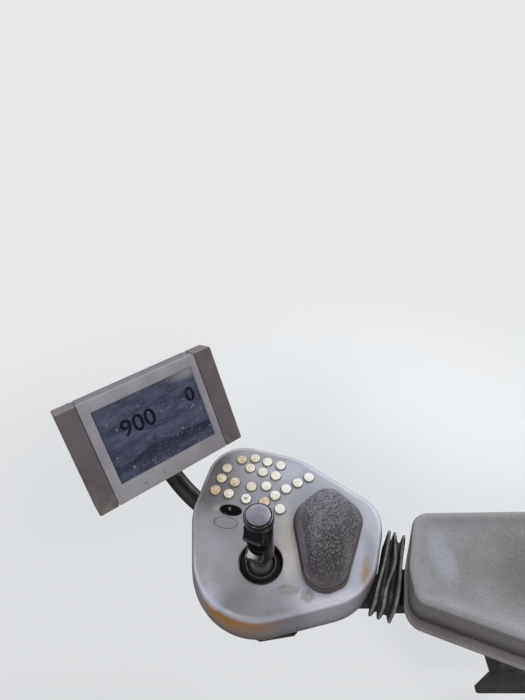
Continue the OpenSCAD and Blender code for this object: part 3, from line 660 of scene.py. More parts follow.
def palm_foam():
    """Charcoal foam skin: pale and dark speckle over a coarse pebble grain, rubbed smoother at the near end."""
    look = Look("palm foam", (0.060, 0.057, 0.064), 0.6, Specular_IOR_Level=0.25)
    pebble = look.cells(350.0)
    look.clouds(look.noise(30.0, 5.0), 0.35, 0.65, (0.040, 0.036, 0.041), (0.068, 0.063, 0.072))
    far = look.span(look.y, 0.070, 0.150)
    look.wash(far, (0.205, 0.197, 0.231), 0.85)
    # Painted highlight: a pale bluish patch left of the pad's middle.
    pale = look.stain((-0.3250, 0.1080, 0.275), (0.020, 0.046, 0.2), 0.2, 40.0)
    look.wash(pale, (0.180, 0.175, 0.205), 0.45)
    warm = look.stain((-0.3080, 0.0740, 0.275), (0.025, 0.048, 0.2), 0.25, 60.0)
    look.wash(warm, (0.036, 0.030, 0.029), 0.70)
    for spot, radii, share in (((-0.2820, 0.1100, 0.275), (0.022, 0.036, 0.2), 0.45),
                               ((-0.3440, 0.0980, 0.274), (0.008, 0.036, 0.2), 0.65)):
        look.wash(look.stain(spot, radii, 0.25, 80.0), (0.045, 0.038, 0.038), share)
    grain = look.noise(350.0, 3.0, 0.75)
    look.wash(look.span(grain, 0.51, 0.41), (0.010, 0.008, 0.009), 0.80)
    look.wash(look.span(grain, 0.54, 0.66), (0.235, 0.225, 0.255), 0.60)
    look.wash(look.times(look.times(warm, 0.45), look.span(grain, 0.54, 0.61)), (0.185, 0.155, 0.130))
    near = look.span(look.y, 0.056, 0.030)
    side = look.span(look.z, 0.2722, 0.2690)
    on_left = look.span(look.x, -0.338, -0.347)
    left_side = look.times(look.span(look.z, 0.2742, 0.2728), on_left)
    band = look.times(look.stain((-0.2915, 0.0600, 0.273), (0.0085, 0.038, 0.2), 0.10, 60.0), 0.85)
    smooth = look.scalar("MAXIMUM", look.times(near, 0.80), side)
    smooth = look.scalar("MAXIMUM", smooth, look.scalar("MAXIMUM", left_side, band))
    skin = look.mix(on_left, (0.078, 0.065, 0.070), (0.150, 0.120, 0.142))
    look.wash(smooth, skin, 0.82)
    look.rough(smooth, 0.0, 1.0, 0.62, 0.42)
    height = look.times(look.span(pebble, 0.1, 0.6, 1.0, 0.0), look.span(smooth, 0.0, 1.0, 1.0, 0.15))
    look.grain(height, 0.00050)
    return look.done()


palm.data.materials.append(palm_foam())
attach(palm, "pod")
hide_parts("palm_pad")

lip_edge = quarter((-0.0010, 0.0020), (0.0002, 0.0031), 6, over_first=False)
lip_side = [(-0.0010, 0.0001), (-0.0010, 0.0016), *lip_edge, (0.0016, 0.0026)]
lip_grid = lofted(palm_corners, lip_side, lip_count, [(0.5, 0.0024)], stick_at)
lip_rise = 1 - smooth_step(lip_grid[..., 1] - stick_at[1], -0.034, 0.012)
lip_grid[..., 2] += lip_rise * 1.1 * (lip_grid[..., 2] - stick_at[2])
lip = make_mesh("palm_pad_lip", lip_grid, 60.0)
lip_black = plain_black("palm lip", (0.040, 0.029, 0.027), 0.34, 0.50, 520.0, 0.00003, 0.5)
lip.data.materials.append(lip_black)
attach(lip, "pod")
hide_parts("palm_pad_rim")


# Joystick boot: a dirty snap-in ring lines the hole, and a rubber gaiter folds inwards from it and
# rises to the grip.
ring_profile = [(0.0261, -0.0080), (0.0272, -0.0080), (0.0273, -0.0004), (0.0278, 0.0004), (0.0275, 0.0009),
                (0.0269, 0.0009), (0.0263, 0.0003), (0.0261, -0.0020)]
ring = make_mesh("boot_ring_rim", turned(ring_profile, 120, stick_at), 35.0, ring=True)
ring_brown = Look("dirty ring", (0.035, 0.030, 0.028), 0.5, Specular_IOR_Level=0.25)
ring_brown.clouds(ring_brown.noise(130.0, 6.0, 0.7), 0.48, 0.68, (0.017, 0.014, 0.013), (0.13, 0.090, 0.060))
ring_brown.grain(ring_brown.noise(600.0), 0.00012)
ring.data.materials.append(ring_brown.done())
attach(ring, "pod")
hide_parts("boot_ring")

outer_folds = [(0.0256, -0.0085), (0.0256, -0.0062), (0.0230, -0.0042), (0.0215, -0.0062), (0.0204, -0.0032),
               (0.0193, -0.0008), (0.0185, -0.0002), (0.0180, -0.0006)]
neck_folds = [(0.0170, -0.0052), (0.0162, -0.0042), (0.0152, -0.0036), (0.0141, -0.0019), (0.0132, 0.0002),
              (0.0122, 0.0017), (0.0110, 0.0028), (0.0099, 0.0039), (0.0090, 0.0056), (0.0087, 0.0080),
              (0.0083, 0.0100), (0.0087, 0.0125), (0.0084, 0.0150), (0.0090, 0.0180), (0.0092, 0.0220)]
sleeve_count = 144


def smooth_rows(rows, count):
    """Carries a rounded curve through the rows: each new point is the mean of the straight line there and
    0.35 of a row ahead and behind.
    """
    rows = np.asarray(rows, float)
    along = np.linspace(0, len(rows) - 1, count)

    def read(shift):
        return np.stack([np.interp(along + shift, np.arange(len(rows)), column) for column in rows.T], -1)

    return (read(0.0) + read(0.35) + read(-0.35)) / 3


def rubber_sleeve(name, folds, wall, ribs):
    """A turned rubber wall: the folds outside, the same line a wall's thickness in and down inside."""
    line = smooth_rows(folds, 5 * len(folds))
    back = line[::-1] - np.array([wall, 0.0006])
    grid = turned(np.vstack([line, back]), sleeve_count, stick_at)
    offset = grid[..., :2] - stick_at[:2]
    turn = np.arctan2(offset[..., 1], offset[..., 0])
    ripple = ribs * np.sin(23 * turn) * np.sin(7 * turn + 1.0)
    grid[..., :2] += offset / np.linalg.norm(offset, axis=-1, keepdims=True) * ripple[..., None]
    return make_mesh(name, grid, 60.0, ring=True)


def boot_rubber():
    """Dull rubber: painted shade darker low down in the grooves, and dust greying the crests."""
    look = Look("boot rubber", (0.040, 0.038, 0.040), 0.6, Specular_IOR_Level=0.3)
    crest = look.span(look.z, 0.2545, 0.2600)
    dust = look.span(look.noise(180.0, 5.0, 0.65), 0.38, 0.62)
    # Painted shade: darker low down in the grooves, the rubber's own colour on the crests.
    look.base = look.mix(look.times(crest, 0.75), (0.012, 0.010, 0.010), (0.040, 0.036, 0.040))
    look.wash(look.times(dust, crest), (0.070, 0.065, 0.069), 0.5)
    look.rough(look.noise(70.0, 4.0), 0.35, 0.65, 0.36, 0.60)
    look.grain(look.noise(500.0, 4.0), 0.00008)
    return look.done()


boot_black = boot_rubber()
boot_foot = rubber_sleeve("boot_folds", outer_folds, 0.0008, 0.00008)
boot_neck = rubber_sleeve("boot_neck", neck_folds, 0.0008, 0.00014)
for sleeve in (boot_foot, boot_neck):
    sleeve.data.materials.append(boot_black)
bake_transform(boot_foot)
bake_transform(boot_neck)
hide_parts("gaiter")


# Grip: a glossy black moulded handle, round behind and stepped on the thumb's side, where a
# hooked rocker stands over a recess and a second block. A satin slate button caps it.
grip_base = 0.027
grip_r = 0.0165
grip_count = 160
collar_r = 0.0173
collar_z = 0.1040
thumb_edge = 0.0024
thumb_count = 120
thumb_turn = math.radians(25.0)
thumb_out = np.array([-math.sin(thumb_turn), -math.cos(thumb_turn), 0.0])
thumb_across = np.array([math.cos(thumb_turn), -math.sin(thumb_turn), 0.0])
grip_lean = np.array([-0.030, 0.030])
cap_tilt = math.tan(math.radians(8.0))


def leaning(points):
    """The handle leans a little forward and outboard, more with height over its foot, and its top turns
    to face outboard: the near side rises and the far side sinks.
    """
    up = np.clip(points[..., 2:3] - (stick_at[2] + grip_base), 0, None)
    points[..., 2] -= cap_tilt * smooth_step(up[..., 0], 0.018, 0.073) * (points[..., 1] - stick_at[1])
    points[..., :2] += up * grip_lean
    return points


def barrel():
    """The handle: a round section whose thumb side is drawn in to a flat between the two blocks."""
    foot = quarter((0.0030, 0.0), (0.0, 0.0035), 6)
    rows = [(grip_r - inset, grip_base + height) for inset, height in foot]
    rows += [(grip_r, z) for z in np.linspace(grip_base + 0.006, 0.0965, 44)]
    rows += [(0.0160, 0.0990)]
    grid = turned(rows, grip_count)
    turn = np.arctan2(grid[..., 1], grid[..., 0])
    facing = np.cos(turn - math.atan2(thumb_out[1], thumb_out[0]))
    z = grid[..., 2]
    between = smooth_step(z, 0.060, 0.064) * (1 - smooth_step(z, 0.080, 0.084))
    reach = 1.0 - 0.16 * between * smooth_step(facing, 0.45, 0.85)
    below = 1 - smooth_step(z, 0.096, 0.0985)
    waist = 1.0 - 0.025 * np.sin(np.pi * np.clip((z - grip_base) / (0.098 - grip_base), 0, 1)) * below
    grid[..., :2] *= (reach * waist)[..., None]
    return leaning(grid + stick_at)


def collar():
    """The rolled collar round the cap: a short turned ring that hides the handle's upper end."""
    shoulder = quarter((0.0, 0.0), (0.0022, 0.0038), 8, over_first=False)[1:]
    rows = [(0.0150, 0.0962), (0.0166, 0.0964), (0.0171, 0.0978), (collar_r, 0.0998), (collar_r, collar_z)]
    rows += [(collar_r - inset, collar_z + height) for inset, height in shoulder]
    rows += [(0.0144, 0.1076), (0.0142, 0.1050)]
    return leaning(turned(rows, grip_count) + stick_at)


def thumb_block(half_wide, low, high, reach, hook, radius, slope, crown, twist):
    """A block on the thumb's side: a rounded rectangle carried out to reach. Its face curls out by hook times
    the fifth power of the way down, slopes back over its upper half, and is crowned and twisted across.
    """
    mid, half = (low + high) / 2, (high - low) / 2
    signs = ((-1, 1), (-1, -1), (1, -1), (1, 1))
    corners = np.array([(x * (half_wide - radius), y * (half - radius), radius) for x, y in signs])
    edge = quarter((0.0, reach - thumb_edge), (thumb_edge, reach), 8, over_first=False)
    face_rows = [(s, reach) for s in (0.93, 0.84, 0.73, 0.60, 0.46, 0.32, 0.18, 0.05)]
    flat = lofted(corners, [(0.0, 0.010), *edge], thumb_count, face_rows)
    across, up, out = flat[..., 0], flat[..., 1], flat[..., 2].copy()
    face = smooth_step(out, reach - 0.0040, reach)
    out += face * hook * np.clip(0.5 - 0.5 * up / half, 0, 1) ** 5
    back = slope * np.clip((up / half + 0.30) / 1.3, 0, 1)
    out -= face * (crown * (across / half_wide) ** 2 + twist * across + back)
    points = across[..., None] * thumb_across + out[..., None] * thumb_out
    points[..., 2] += mid + up
    return leaning(points + stick_at)


grip = make_mesh("grip_handle", barrel(), 50.0)
grip_collar = make_mesh("grip_collar", collar(), 50.0)
upper_block = thumb_block(0.0118, 0.0800, 0.0985, 0.0180, 0.0062, 0.0022, 0.0028, 0.0012, 0.0)
upper_rocker = make_mesh("thumb_paddle", upper_block, 60.0)
lower_block = thumb_block(0.0105, 0.0390, 0.0560, 0.0212, 0.0, 0.0026, 0.0150, 0.0010, 0.12)
lower_rocker = make_mesh("thumb_block", lower_block, 60.0)
button_rows = [(0.0138, 0.1040), (0.0138, 0.1085), (0.0134, 0.1091), (0.0126, 0.1094), (0.0090, 0.1097),
               (0.0050, 0.1099), (0.0004, 0.1100)]
button = make_mesh("grip_button", leaning(turned(button_rows, 120) + stick_at), 40.0)
thumb_black = plain_black("thumb black", (0.0060, 0.0052, 0.0056), 0.10, 0.22, 420.0, 0.000006, 0.2,
                          Specular_IOR_Level=0.62)
rocker_black = plain_black("rocker black", (0.0060, 0.0050, 0.0062), 0.14, 0.26, 420.0, 0.000006, 0.2,
                           Specular_IOR_Level=0.30)
grip_black = plain_black("grip black", (0.0032, 0.0027, 0.0031), 0.10, 0.22, 420.0, 0.000006, 0.0,
                         Specular_IOR_Level=0.08)
for part, node, finish in ((grip, "grip", grip_black), (upper_rocker, "thumb_rocker", rocker_black),
                           (lower_rocker, "lower_rocker", thumb_black)):
    part.data.materials.append(finish)
    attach(part, "stick")
    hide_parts(node)
grip_collar.data.materials.append(thumb_black)
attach(grip_collar, "stick")
slate = Look("satin slate", (0.165, 0.162, 0.200), 0.38, Specular_IOR_Level=0.6)
slate.clouds(slate.noise(90.0, 5.0), 0.35, 0.65, (0.140, 0.137, 0.170), (0.200, 0.196, 0.240))
slate.rough(slate.noise(300.0), 0.3, 0.7, 0.30, 0.44)
slate.grain(slate.noise(900.0, 2.0), 0.00002)
button.data.materials.append(slate.done())
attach(button, "stick")
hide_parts("grip_cap")


# Display: a flat computer in a three-part case, with a pale front frame between two darker end
# strips, and a recessed, dusty screen. It leans back and turns towards the seat.
case_spot = np.array([-0.537, 0.197, 0.351])
case_turn = math.radians(36.0)
case_lean = math.radians(30.0)
case_w = 0.216
case_h = 0.145
case_d = 0.035
half_w, half_h = case_w / 2, case_h / 2
end_w = 0.026
window_mid = (0.0015, 0.0045)
window_half = (0.0705, 0.0525)
seam = 0.0003
frame_back = -0.0080
glass_back, glass_front = -0.0060, -0.0030
figures_out = -0.00292
slab_count = 160
frame_count = 240


def on_case(flat):
    """Carries (across, up, out of the face) points onto the leaning, turned case."""
    x, z, out = flat[..., 0], flat[..., 1], flat[..., 2]
    y, z = spin(-out, z, -case_lean)
    x, y = spin(x, y, case_turn)
    return np.stack([x, y, z], -1) + case_spot


def panel_corners(x0, x1, z0, z1, radii):
    """Discs at a panel's corners, anticlockwise from the far right, with a radius for each."""
    a, b, c, d = radii
    return np.array([(x1 - a, z1 - a, a), (x0 + b, z1 - b, b), (x0 + c, z0 + c, c), (x1 - d, z0 + d, d)])


def window_corners(grow, radius):
    """The window's corner discs, its sides moved out by grow."""
    (x, z), (wide, high) = window_mid, window_half
    return panel_corners(x - wide - grow, x + wide + grow, z - high - grow, z + high + grow, (radius,) * 4)


def slab(name, corners, back, front, edge):
    """A moulded panel from back to front with rounded edges."""
    rear = quarter((edge, back), (0.0, back + edge), 5)
    fore = quarter((0.0, front - edge), (edge, front), 7, over_first=False)
    flat = lofted(corners, [*rear, *fore], slab_count, [(0.9, front)])
    made = make_mesh(name, on_case(flat), 40.0)
    speck_attribute(made, "across", flat[..., 0].ravel())
    speck_attribute(made, "up", flat[..., 1].ravel())
    return made


def case_plastic(name, dark, light, low_z, dots=()):
    """Moulded case plastic: clouded, dusty along its lower edge, with a fine spark grain, scratches and
    faint round marks at the dots.
    """
    look = Look(name, dark, 0.5, Specular_IOR_Level=0.18)
    look.clouds(look.noise(22.0, 5.0), 0.35, 0.65, dark, light)
    low = look.span(look.z, low_z + 0.03, low_z)
    smudge = look.times(low, look.span(look.noise(55.0, 6.0), 0.35, 0.6))
    look.wash(smudge, (0.25, 0.22, 0.19), 0.4)
    scratch = look.span(look.noise(60.0, 9.0, 0.75, 2.0, (1.0, 1.0, 7.0)), 0.63, 0.70)
    look.wash(scratch, (0.36, 0.35, 0.36), 0.25)
    top = look.span(look.value("up"), half_h - 0.0010, half_h - 0.0002)
    look.wash(top, (0.190, 0.164, 0.175), 0.75)
    for spot in dots:
        dot = look.stain(spot, (0.0026, 0.0026, 0.0040), 0.10, 300.0)
        look.wash(dot, (0.085, 0.078, 0.086), 0.45)
    look.rough(look.noise(35.0, 5.0), 0.3, 0.7, 0.40, 0.58)
    look.grain(look.noise(1100.0, 2.0), 0.000014)
    return look.done()


inner_x = half_w - end_w
case_taupe = case_plastic("case taupe", (0.092, 0.076, 0.078), (0.118, 0.100, 0.103), 0.29)
frame_grey = case_plastic("front frame grey", (0.232, 0.216, 0.240), (0.300, 0.284, 0.312), 0.29,
                          on_case(np.array([(-0.0130, -0.0612, 0.0), (-0.0405, -0.0618, 0.0)])))
right_corners = panel_corners(inner_x + seam, half_w, -half_h, half_h, (0.0018, 0.0010, 0.0010, 0.0018))
right_end = slab("case_end_right", right_corners, -case_d, 0.0, 0.0016)
left_corners = panel_corners(-half_w, -inner_x - seam, -half_h, half_h, (0.0010, 0.0018, 0.0018, 0.0010))
left_end = slab("case_end_left", left_corners, -case_d, 0.0, 0.0016)
back_corners = panel_corners(-inner_x, inner_x, -half_h, half_h, (0.0012,) * 4)
case_back = slab("case_back", back_corners, -case_d, -0.0082, 0.0010)
for part, node in ((right_end, "end_strip_right"), (left_end, "end_strip_left"), (case_back, "display_back")):
    part.data.materials.append(case_taupe)
    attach(part, "display")
    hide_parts(node)

frame_outer = panel_corners(-inner_x + 0.0002, inner_x - 0.0002, -half_h, half_h, (0.0012,) * 4)
outer_side = [(0.0, frame_back), *quarter((0.0, -0.0012), (0.0012, 0.0), 6, over_first=False)]
inner_side = [*quarter((-0.0016, 0.0), (0.0, -0.0016), 6), (0.0004, -0.0058), (0.0004, frame_back)]
outer_rows = lofted(frame_outer, outer_side, frame_count)
inner_rows = lofted(window_corners(0.0, 0.0006), inner_side, frame_count)
frame_grid = on_case(np.concatenate([outer_rows, inner_rows]))
front_frame = make_mesh("front_frame", frame_grid, 35.0, ring=True)
front_frame.data.materials.append(frame_grey)
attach(front_frame, "display")
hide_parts("display_bezel")


def dusty_screen():
    """A dim panel behind matt glass: deep blue-grey under a film of dust wiped lengthwise, with pale
    specks, a darker band low down and a painted reflection, a pale haze, in the far upper corner.
    """
    look = Look("dusty screen", (0.030, 0.033, 0.060), 0.30, Specular_IOR_Level=0.08)
    across = look.value("across")
    up = look.value("up")
    flat = look.add("ShaderNodeCombineXYZ", {0: across, 1: look.times(up, 3.0)}).outputs[0]
    wiped = look.noise(22.0, 7.0, 0.62, at=flat)
    film = look.span(wiped, 0.34, 0.66)
    look.base = look.mix(film, (0.032, 0.035, 0.063), (0.080, 0.090, 0.138))
    wobble = look.span(wiped, 0.3, 0.7, -0.005, 0.005)
    off = look.scalar("ABSOLUTE", look.scalar("ADD", look.scalar("ADD", up, 0.0290), wobble))
    look.wash(look.span(off, 0.0030, 0.0085, 1.0, 0.0), (0.012, 0.012, 0.030), 0.7)
    mottled = look.noise(75.0, 5.0, 0.7, at=flat)
    look.wash(look.span(mottled, 0.50, 0.68), (0.085, 0.092, 0.128), 0.40)
    look.wash(look.span(mottled, 0.48, 0.32), (0.012, 0.012, 0.026), 0.50)
    # Painted reflection: a pale haze in the far upper corner.
    corner = look.vector("DISTANCE", flat, (0.074, 0.168, 0.0), "Value")
    look.wash(look.span(corner, 0.006, 0.050, 1.0, 0.0), (0.33, 0.305, 0.33), 0.80)
    specks = look.span(look.noise(330.0, 3.0, 0.7), 0.58, 0.70)
    look.wash(specks, (0.15, 0.165, 0.21), 0.65)
    dots = look.span(look.noise(160.0, 1.0, 0.5), 0.70, 0.77)
    look.wash(dots, (0.26, 0.29, 0.36), 0.55)
    look.rough(film, 0.0, 1.0, 0.28, 0.48)
    look.grain(look.noise(700.0, 2.0), 0.00001)
    return look.done()


screen = slab("screen_panel", window_corners(0.0012, 0.0030), glass_back, glass_front, 0.0002)
screen.data.materials.append(dusty_screen())
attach(screen, "display")
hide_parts("screen_glass")


def screen_digits(words, size, at):
    """Generic figures drawn on the screen: the font's outline as a flat mesh just over the glass."""
    curve = bpy.data.curves.new("figures", "FONT")
    curve.body = words
    curve.size = size
    curve.offset = 0.00045
    writing = bpy.data.objects.new("figures", curve)
    bpy.context.scene.collection.objects.link(writing)
    bpy.context.view_layer.update()
    mesh = bpy.data.meshes.new_from_object(writing.evaluated_get(bpy.context.evaluated_depsgraph_get()))
    bpy.data.objects.remove(writing)
    flat = np.empty(3 * len(mesh.vertices))
    mesh.vertices.foreach_get("co", flat)
    flat = flat.reshape(-1, 3) + np.array([*at, figures_out])
    mesh.vertices.foreach_set("co", on_case(flat).ravel())
    mesh.update()
    return mesh


ink = Look("figure ink", (0.010, 0.011, 0.020), 0.5, Specular_IOR_Level=0.05)
ink.clouds(ink.noise(200.0), 0.4, 0.7, (0.004, 0.004, 0.010), (0.012, 0.013, 0.026))
for words, size, at in (("900", 0.0325, (-0.0440, 0.0070)), ("0", 0.028, (0.0510, 0.0125))):
    figures = bpy.data.objects.new("screen_figures_" + words, screen_digits(words, size, at))
    bpy.context.scene.collection.objects.link(figures)
    figures.data.materials.clear()
    figures.data.materials.append(ink.done())
    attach(figures, "display")


# Cable gland: a short black stub under the case's lower edge, beside the arm, that would seal the
# display's lead where it enters the case. No lead shows, so the gland is blank.
gland_rows = [(0.0034, 0.0), (0.0034, 0.0045), (0.0028, 0.0052), (0.0004, 0.0052)]
x, y, z = np.moveaxis(turned(gland_rows, 40), -1, 0)
gland = make_mesh("cable_gland", on_case(np.stack([x + 0.004, -half_h - z, -0.006 - y], -1)), 35.0)
gland.data.materials.append(pan_black)
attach(gland, "display")


# Display arm: a bent steel tube in black powder coat. It swivels on a stub under the pod, runs
# out level, turns up through a bend and carries a clamp with the tilt pin.
stub_at = np.array([-0.450, 0.151])
hub_r = 0.018
arm_z = 0.1805
arm_r = 0.014
arm_bend = 0.075
pivot_at = np.array([-0.553585, 0.236840, 0.307711])
head_r = 0.012
arm_count = 72


def powder_black(name, colour):
    """Powder coat over steel: brown-black with a soft sheen, an orange-peel skin and rubbed patches."""
    look = Look(name, colour, 0.42, Specular_IOR_Level=0.2)
    lighter = tuple(c * 2.1 for c in colour)
    look.clouds(look.noise(18.0, 5.0), 0.35, 0.65, colour, lighter)
    rub = look.span(look.noise(75.0, 7.0, 0.7), 0.60, 0.70)
    look.wash(rub, (0.14, 0.12, 0.105), 0.5)
    look.rough(look.noise(28.0, 5.0), 0.3, 0.7, 0.34, 0.52)
    look.grain(look.noise(420.0, 2.0), 0.00004)
    return look.done()


def swept(path, radius, count, side):
    """A round bar along a path: at each point a circle spanned by side and the normal to path and side."""
    ahead = np.gradient(path, axis=0)
    ahead /= np.linalg.norm(ahead, axis=1, keepdims=True)
    normal = np.cross(np.broadcast_to(side, path.shape), ahead)
    turn = np.linspace(0, 2 * np.pi, count, endpoint=False)
    spoke = np.cos(turn)[None, :, None] * np.asarray(side) + np.sin(turn)[None, :, None] * normal[:, None]
    return path[:, None] + radius * spoke


run_out = pivot_at[:2] - stub_at
arm_reach = np.linalg.norm(run_out)
run_way = np.array([*(run_out / arm_reach), 0.0])
run_side = np.cross(run_way, [0, 0, 1.0])
level = arm_reach - arm_bend
bend = np.linspace(0, np.pi / 2, 32)
run = np.linspace(hub_r + 0.002, level, 8)[:-1]
climb = np.linspace(arm_bend, pivot_at[2] - arm_z - head_r + 0.0008, 7)[1:]
along = np.concatenate([run, level + arm_bend * np.sin(bend), np.full(len(climb), arm_reach)])
height = np.concatenate([np.zeros(len(run)), arm_bend * (1 - np.cos(bend)), climb])
arm_path = np.array([*stub_at, arm_z]) + along[:, None] * run_way + height[:, None] * np.array([0, 0, 1.0])
tube = make_mesh("arm_bent_tube", swept(arm_path, arm_r, arm_count, run_side), 60.0)
arm_black = powder_black("arm powder black", (0.015, 0.0115, 0.0125))
tube.data.materials.append(arm_black)
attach(tube, "display_arm")
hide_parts("arm_tube")
dress(arm_black, "black_steel", "arm_hub", "arm_head", "tilt_lugs")


# Armrest pad: a skinned foam pad in warm grey with a raised rounded rim round a long dish, set
# in a moulded tray whose lip shows below a dark groove.
rest_corners = np.array([
    # model x, y, radius
    (-0.1725, 0.0910, 0.0320), (-0.1685, 0.0380, 0.0550), (-0.2075, 0.0090, 0.0235), (-0.0685, -0.0175, 0.0475),
    (0.0220, -0.0160, 0.0420), (0.0260, 0.0835, 0.0430),
])
rest_z = 0.260
rest_count = 320
groove_z = -0.012


def rest_skin(name, dark, light, low, high, rim=None):
    """Skinned foam or grained moulding: fine even grain; given a rim colour, also painted highlights on the raised
    rim and in the dish, painted shade on the side wall and a warmer patch to the right.
    """
    look = Look(name, dark, high, Specular_IOR_Level=0.2)
    look.clouds(look.noise(13.0, 4.0), 0.32, 0.68, dark, light)
    if rim is not None:
        on_rim = look.value("rim")
        on_wall = look.value("wall")
        # Painted highlight on the raised rim, stronger towards the far side.
        far = look.span(look.y, 0.0, 0.10, 0.10, 0.42)
        look.wash(look.times(on_rim, far), rim, 0.75)
        # Painted shade on the side wall, darkest low down by the groove.
        wall_shade = look.mix(look.span(look.z, 0.2545, 0.2665), (0.030, 0.023, 0.025), (0.106, 0.094, 0.096))
        look.wash(on_wall, wall_shade, 0.92)
        # Painted highlight: a pale bluish streak in the dish.
        dish_highlight = look.stain((-0.1780, 0.0610, 0.269), (0.020, 0.044, 0.2), 0.12, 30.0)
        look.wash(dish_highlight, (0.330, 0.345, 0.405), 0.62)
        warm = look.stain((-0.050, 0.050, 0.269), (0.105, 0.072, 0.2), 0.12, 20.0)
        look.wash(warm, (0.118, 0.106, 0.103), 0.80)
    fine = look.noise(640.0, 2.0, 0.6)
    calm = 0.30 if rim is None else look.span(on_wall, 0.0, 1.0, 0.30, 0.10)
    look.wash(look.span(fine, 0.52, 0.66), tuple(min(1.0, c * 1.5) for c in light), calm)
    look.wash(look.span(fine, 0.46, 0.34), tuple(c * 0.55 for c in dark), calm)
    look.rough(look.noise(24.0, 5.0), 0.3, 0.7, low, high)
    look.grain(look.cells(560.0), 0.00014)
    look.grain(look.noise(30.0, 2.0), 0.0003)
    return look.done()


pad_side = [(0.0085, groove_z), (0.0060, groove_z + 0.0012), (0.0050, groove_z + 0.0035),
            (0.0046, groove_z + 0.0080), (0.0051, 0.0000), (0.0061, 0.0045), (0.0074, 0.0090), (0.0084, 0.0120),
            (0.0093, 0.0136), (0.0106, 0.0146), (0.0125, 0.0150), (0.0148, 0.0150), (0.0172, 0.0145)]
into_dish = [(0.975, 0.0138), (0.95, 0.0129), (0.92, 0.0119), (0.88, 0.0109), (0.83, 0.0101), (0.77, 0.0096),
             (0.68, 0.0093), (0.52, 0.0091), (0.34, 0.0090), (0.16, 0.0090), (0.03, 0.0090)]
pad_profile = smooth_rows(pad_side, 52)
pad_grid = lofted(rest_corners, pad_profile, rest_count, into_dish, (0.0, 0.0045, rest_z))
rise = smooth_step(pad_grid[..., 2] - rest_z, -0.010, 0.0135)
left = 1 - smooth_step(pad_grid[..., 0], -0.205, -0.110)
out_left = 0.0070 * smooth_step(pad_grid[..., 1], 0.008, 0.050) + 0.0030 * smooth_step(pad_grid[..., 1], 0.060, 0.100)
pad_grid[..., 1] += 0.0050 * rise * (1 - smooth_step(pad_grid[..., 1], -0.005, 0.055))
pad_grid[..., 0] -= rise * left * out_left
pad = make_mesh("armrest_foam", pad_grid, 180.0)
inset_of_row = np.concatenate([pad_profile[:, 0], np.linspace(0.019, 0.060, len(into_dish))])
rising = np.concatenate([pad_profile[:, 1], np.full(len(into_dish), 0.015)])
flat_top = smooth_step(rising, 0.0125, 0.0143)
on_rim = flat_top * (1 - smooth_step(inset_of_row, 0.0135, 0.0215))
speck_attribute(pad, "wall", np.repeat(1 - flat_top, rest_count))
speck_attribute(pad, "rim", np.repeat(on_rim, rest_count))
# The last colour is the painted highlight on the raised rim.
pad_skin = rest_skin("armrest skin", (0.188, 0.182, 0.186), (0.240, 0.233, 0.243), 0.42, 0.58, (0.305, 0.291, 0.291))
pad.data.materials.append(pad_skin)
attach(pad, "arm")
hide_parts("armrest_pad")

tray_profile = [*quarter((0.0130, -0.0361), (0.0075, -0.0325), 8), (0.0040, -0.0260), (0.0013, -0.0195),
                *quarter((0.0002, -0.0155), (0.0034, -0.0121), 8, over_first=False), (0.0105, groove_z - 0.0006)]
tray_grid = lofted(rest_corners, tray_profile, rest_count, [(0.5, groove_z - 0.0004)], (0.0, 0.0, rest_z))
tray = make_mesh("armrest_shell", tray_grid, 60.0)
tray.data.materials.append(rest_skin("tray moulding", (0.165, 0.145, 0.148), (0.215, 0.192, 0.196), 0.42, 0.56))
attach(tray, "arm")
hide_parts("armrest_tray")


# Bellows: a black rubber concertina that closes the gap between pod and tray and stretches as the
# pod slides. Its leaves are rounded rectangles, thin at their greyed edges, and hang a little askew.
leaf_len = 0.102
leaf_h = 0.058
leaf_r = 0.014
leaf_pitch = 0.010
leaf_count = 3
leaf_dip = 0.0056
wall_rows = 6
bellows_mid = np.array([-0.2345, 0.0620, 0.2189])
bellows_turn = math.radians(-20.0)


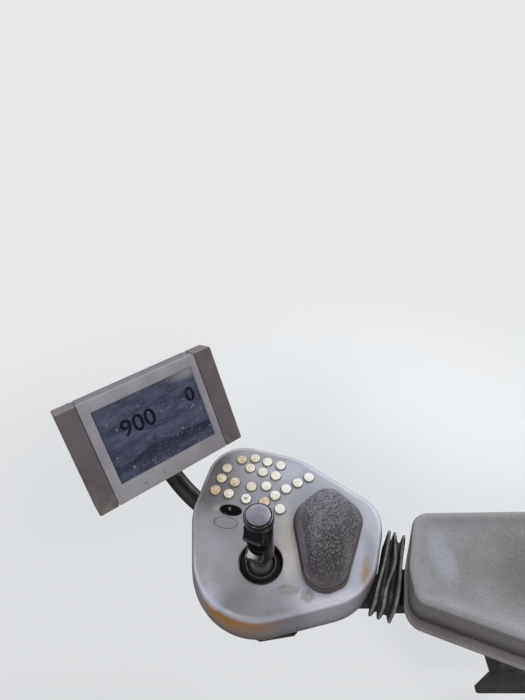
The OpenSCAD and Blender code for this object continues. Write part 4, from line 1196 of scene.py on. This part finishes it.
def bellows_grid(count=200, steps=12):
    """Rounded rectangles in a row: the outline is drawn in between thin leaves, and each leaf is bowed
    along the row by slow waves round its edge. An inner wall brings the sleeve back round the beam.
    """
    half = leaf_len / 2 - leaf_r, leaf_h / 2 - leaf_r
    corners = np.array([(x * half[0], z * half[1], leaf_r) for x, z in ((1, 1), (-1, 1), (-1, -1), (1, -1))])
    place, normal = outline(corners, count)
    phase = np.linspace(0.25, leaf_count - 0.25, leaf_count * 2 * steps + 1)
    crest = np.exp(-(np.abs(phase % 1.0 - 0.5) / 0.25) ** 5)
    along = (phase - leaf_count / 2) * leaf_pitch
    leaf = np.floor(phase).astype(int)
    near = smooth_step(-place[:, 0], -0.010, leaf_len / 2)
    waves = ((0.0008, 5, 0.4), (0.0030, 7.5, 1.2), (0.0012, 6, 2.6))
    across = place[:, 0] / leaf_len
    shape = np.stack([size * np.sin(rate * across + lag) for size, rate, lag in waves])
    bow = crest[:, None] * (shape[leaf] + (leaf[:, None] - 1) * 0.0022 * near)
    on_top = smooth_step(normal[:, 1], -0.5, 0.2) * smooth_step(place[:, 0], -0.045, -0.025)
    deep = leaf_dip + 0.0018 * smooth_step(-normal[:, 0], 0.2, 0.8) + 0.0066 * on_top
    inset = deep[None] * (1 - crest[:, None])
    along = np.concatenate([along, np.linspace(along[-1], along[0], wall_rows)])
    inset = np.vstack([inset, np.tile(deep + 0.0014, (wall_rows, 1))])
    crest = np.concatenate([crest, np.zeros(wall_rows)])
    bow = np.vstack([bow, np.zeros((wall_rows, count))])
    ring = place[None] - normal[None] * inset[..., None]
    x, y = spin(along[:, None] + bow, ring[..., 0], bellows_turn)
    return np.stack([x, y, ring[..., 1]], -1) + bellows_mid, crest


bellows_points, leaf_crest = bellows_grid()
bellows = make_mesh("bellows_leaves", bellows_points, 60.0, ring=True)
speck_attribute(bellows, "crest", np.repeat(leaf_crest, bellows_points.shape[1]))
leaf_black = Look("bellows rubber", (0.022, 0.020, 0.022), 0.55)
leaf_black.clouds(leaf_black.noise(40.0, 5.0), 0.4, 0.7, (0.016, 0.014, 0.015), (0.034, 0.030, 0.033))
worn_edge = leaf_black.span(leaf_black.value("crest"), 0.62, 0.93)
chalk = leaf_black.times(worn_edge, leaf_black.span(leaf_black.noise(90.0, 6.0, 0.7), 0.30, 0.60))
leaf_black.wash(chalk, (0.195, 0.184, 0.186), 0.9)
leaf_black.grain(leaf_black.noise(350.0), 0.0001)
bellows.data.materials.append(leaf_black.done())
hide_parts("bellows")
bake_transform(bellows)


# Carrying steelwork: a hollow square beam hinged behind the pad, a forked head on a zinc post, and
# a guide tube on the bolted bracket with its clamp knob. Black powder coat, bright where it slides.
def zinc_plate():
    """Zinc-plated steel: bright, brushed lengthwise, with dull fingerprinted clouds."""
    look = Look("zinc plate", (0.52, 0.53, 0.55), 0.35, Metallic=1.0)
    look.clouds(look.noise(40.0, 6.0), 0.35, 0.65, (0.40, 0.41, 0.43), (0.60, 0.61, 0.62))
    tarnish = look.span(look.noise(90.0, 6.0, 0.7), 0.58, 0.72)
    look.wash(tarnish, (0.26, 0.22, 0.17), 0.5)
    brushed = look.noise(140.0, 4.0, 0.6, 0.0, (1.0, 1.0, 0.06))
    look.rough(brushed, 0.3, 0.7, 0.26, 0.44)
    look.grain(brushed, 0.00002)
    return look.done()


frame_black = powder_black("frame powder black", (0.022, 0.021, 0.022))
zinc = zinc_plate()
dress(frame_black, "black_steel", "slide_bar", "bracket_plate", "guide_tube", "hinge_head", "arm_beam", "stick_base")
dress(zinc, "zinc_steel", "post_tube", "hinge_pin", "arm_stub", "gimbal_ring", "stick_shaft", "tilt_pin")
dress(gloss_black, "gloss_black", "height_knob")
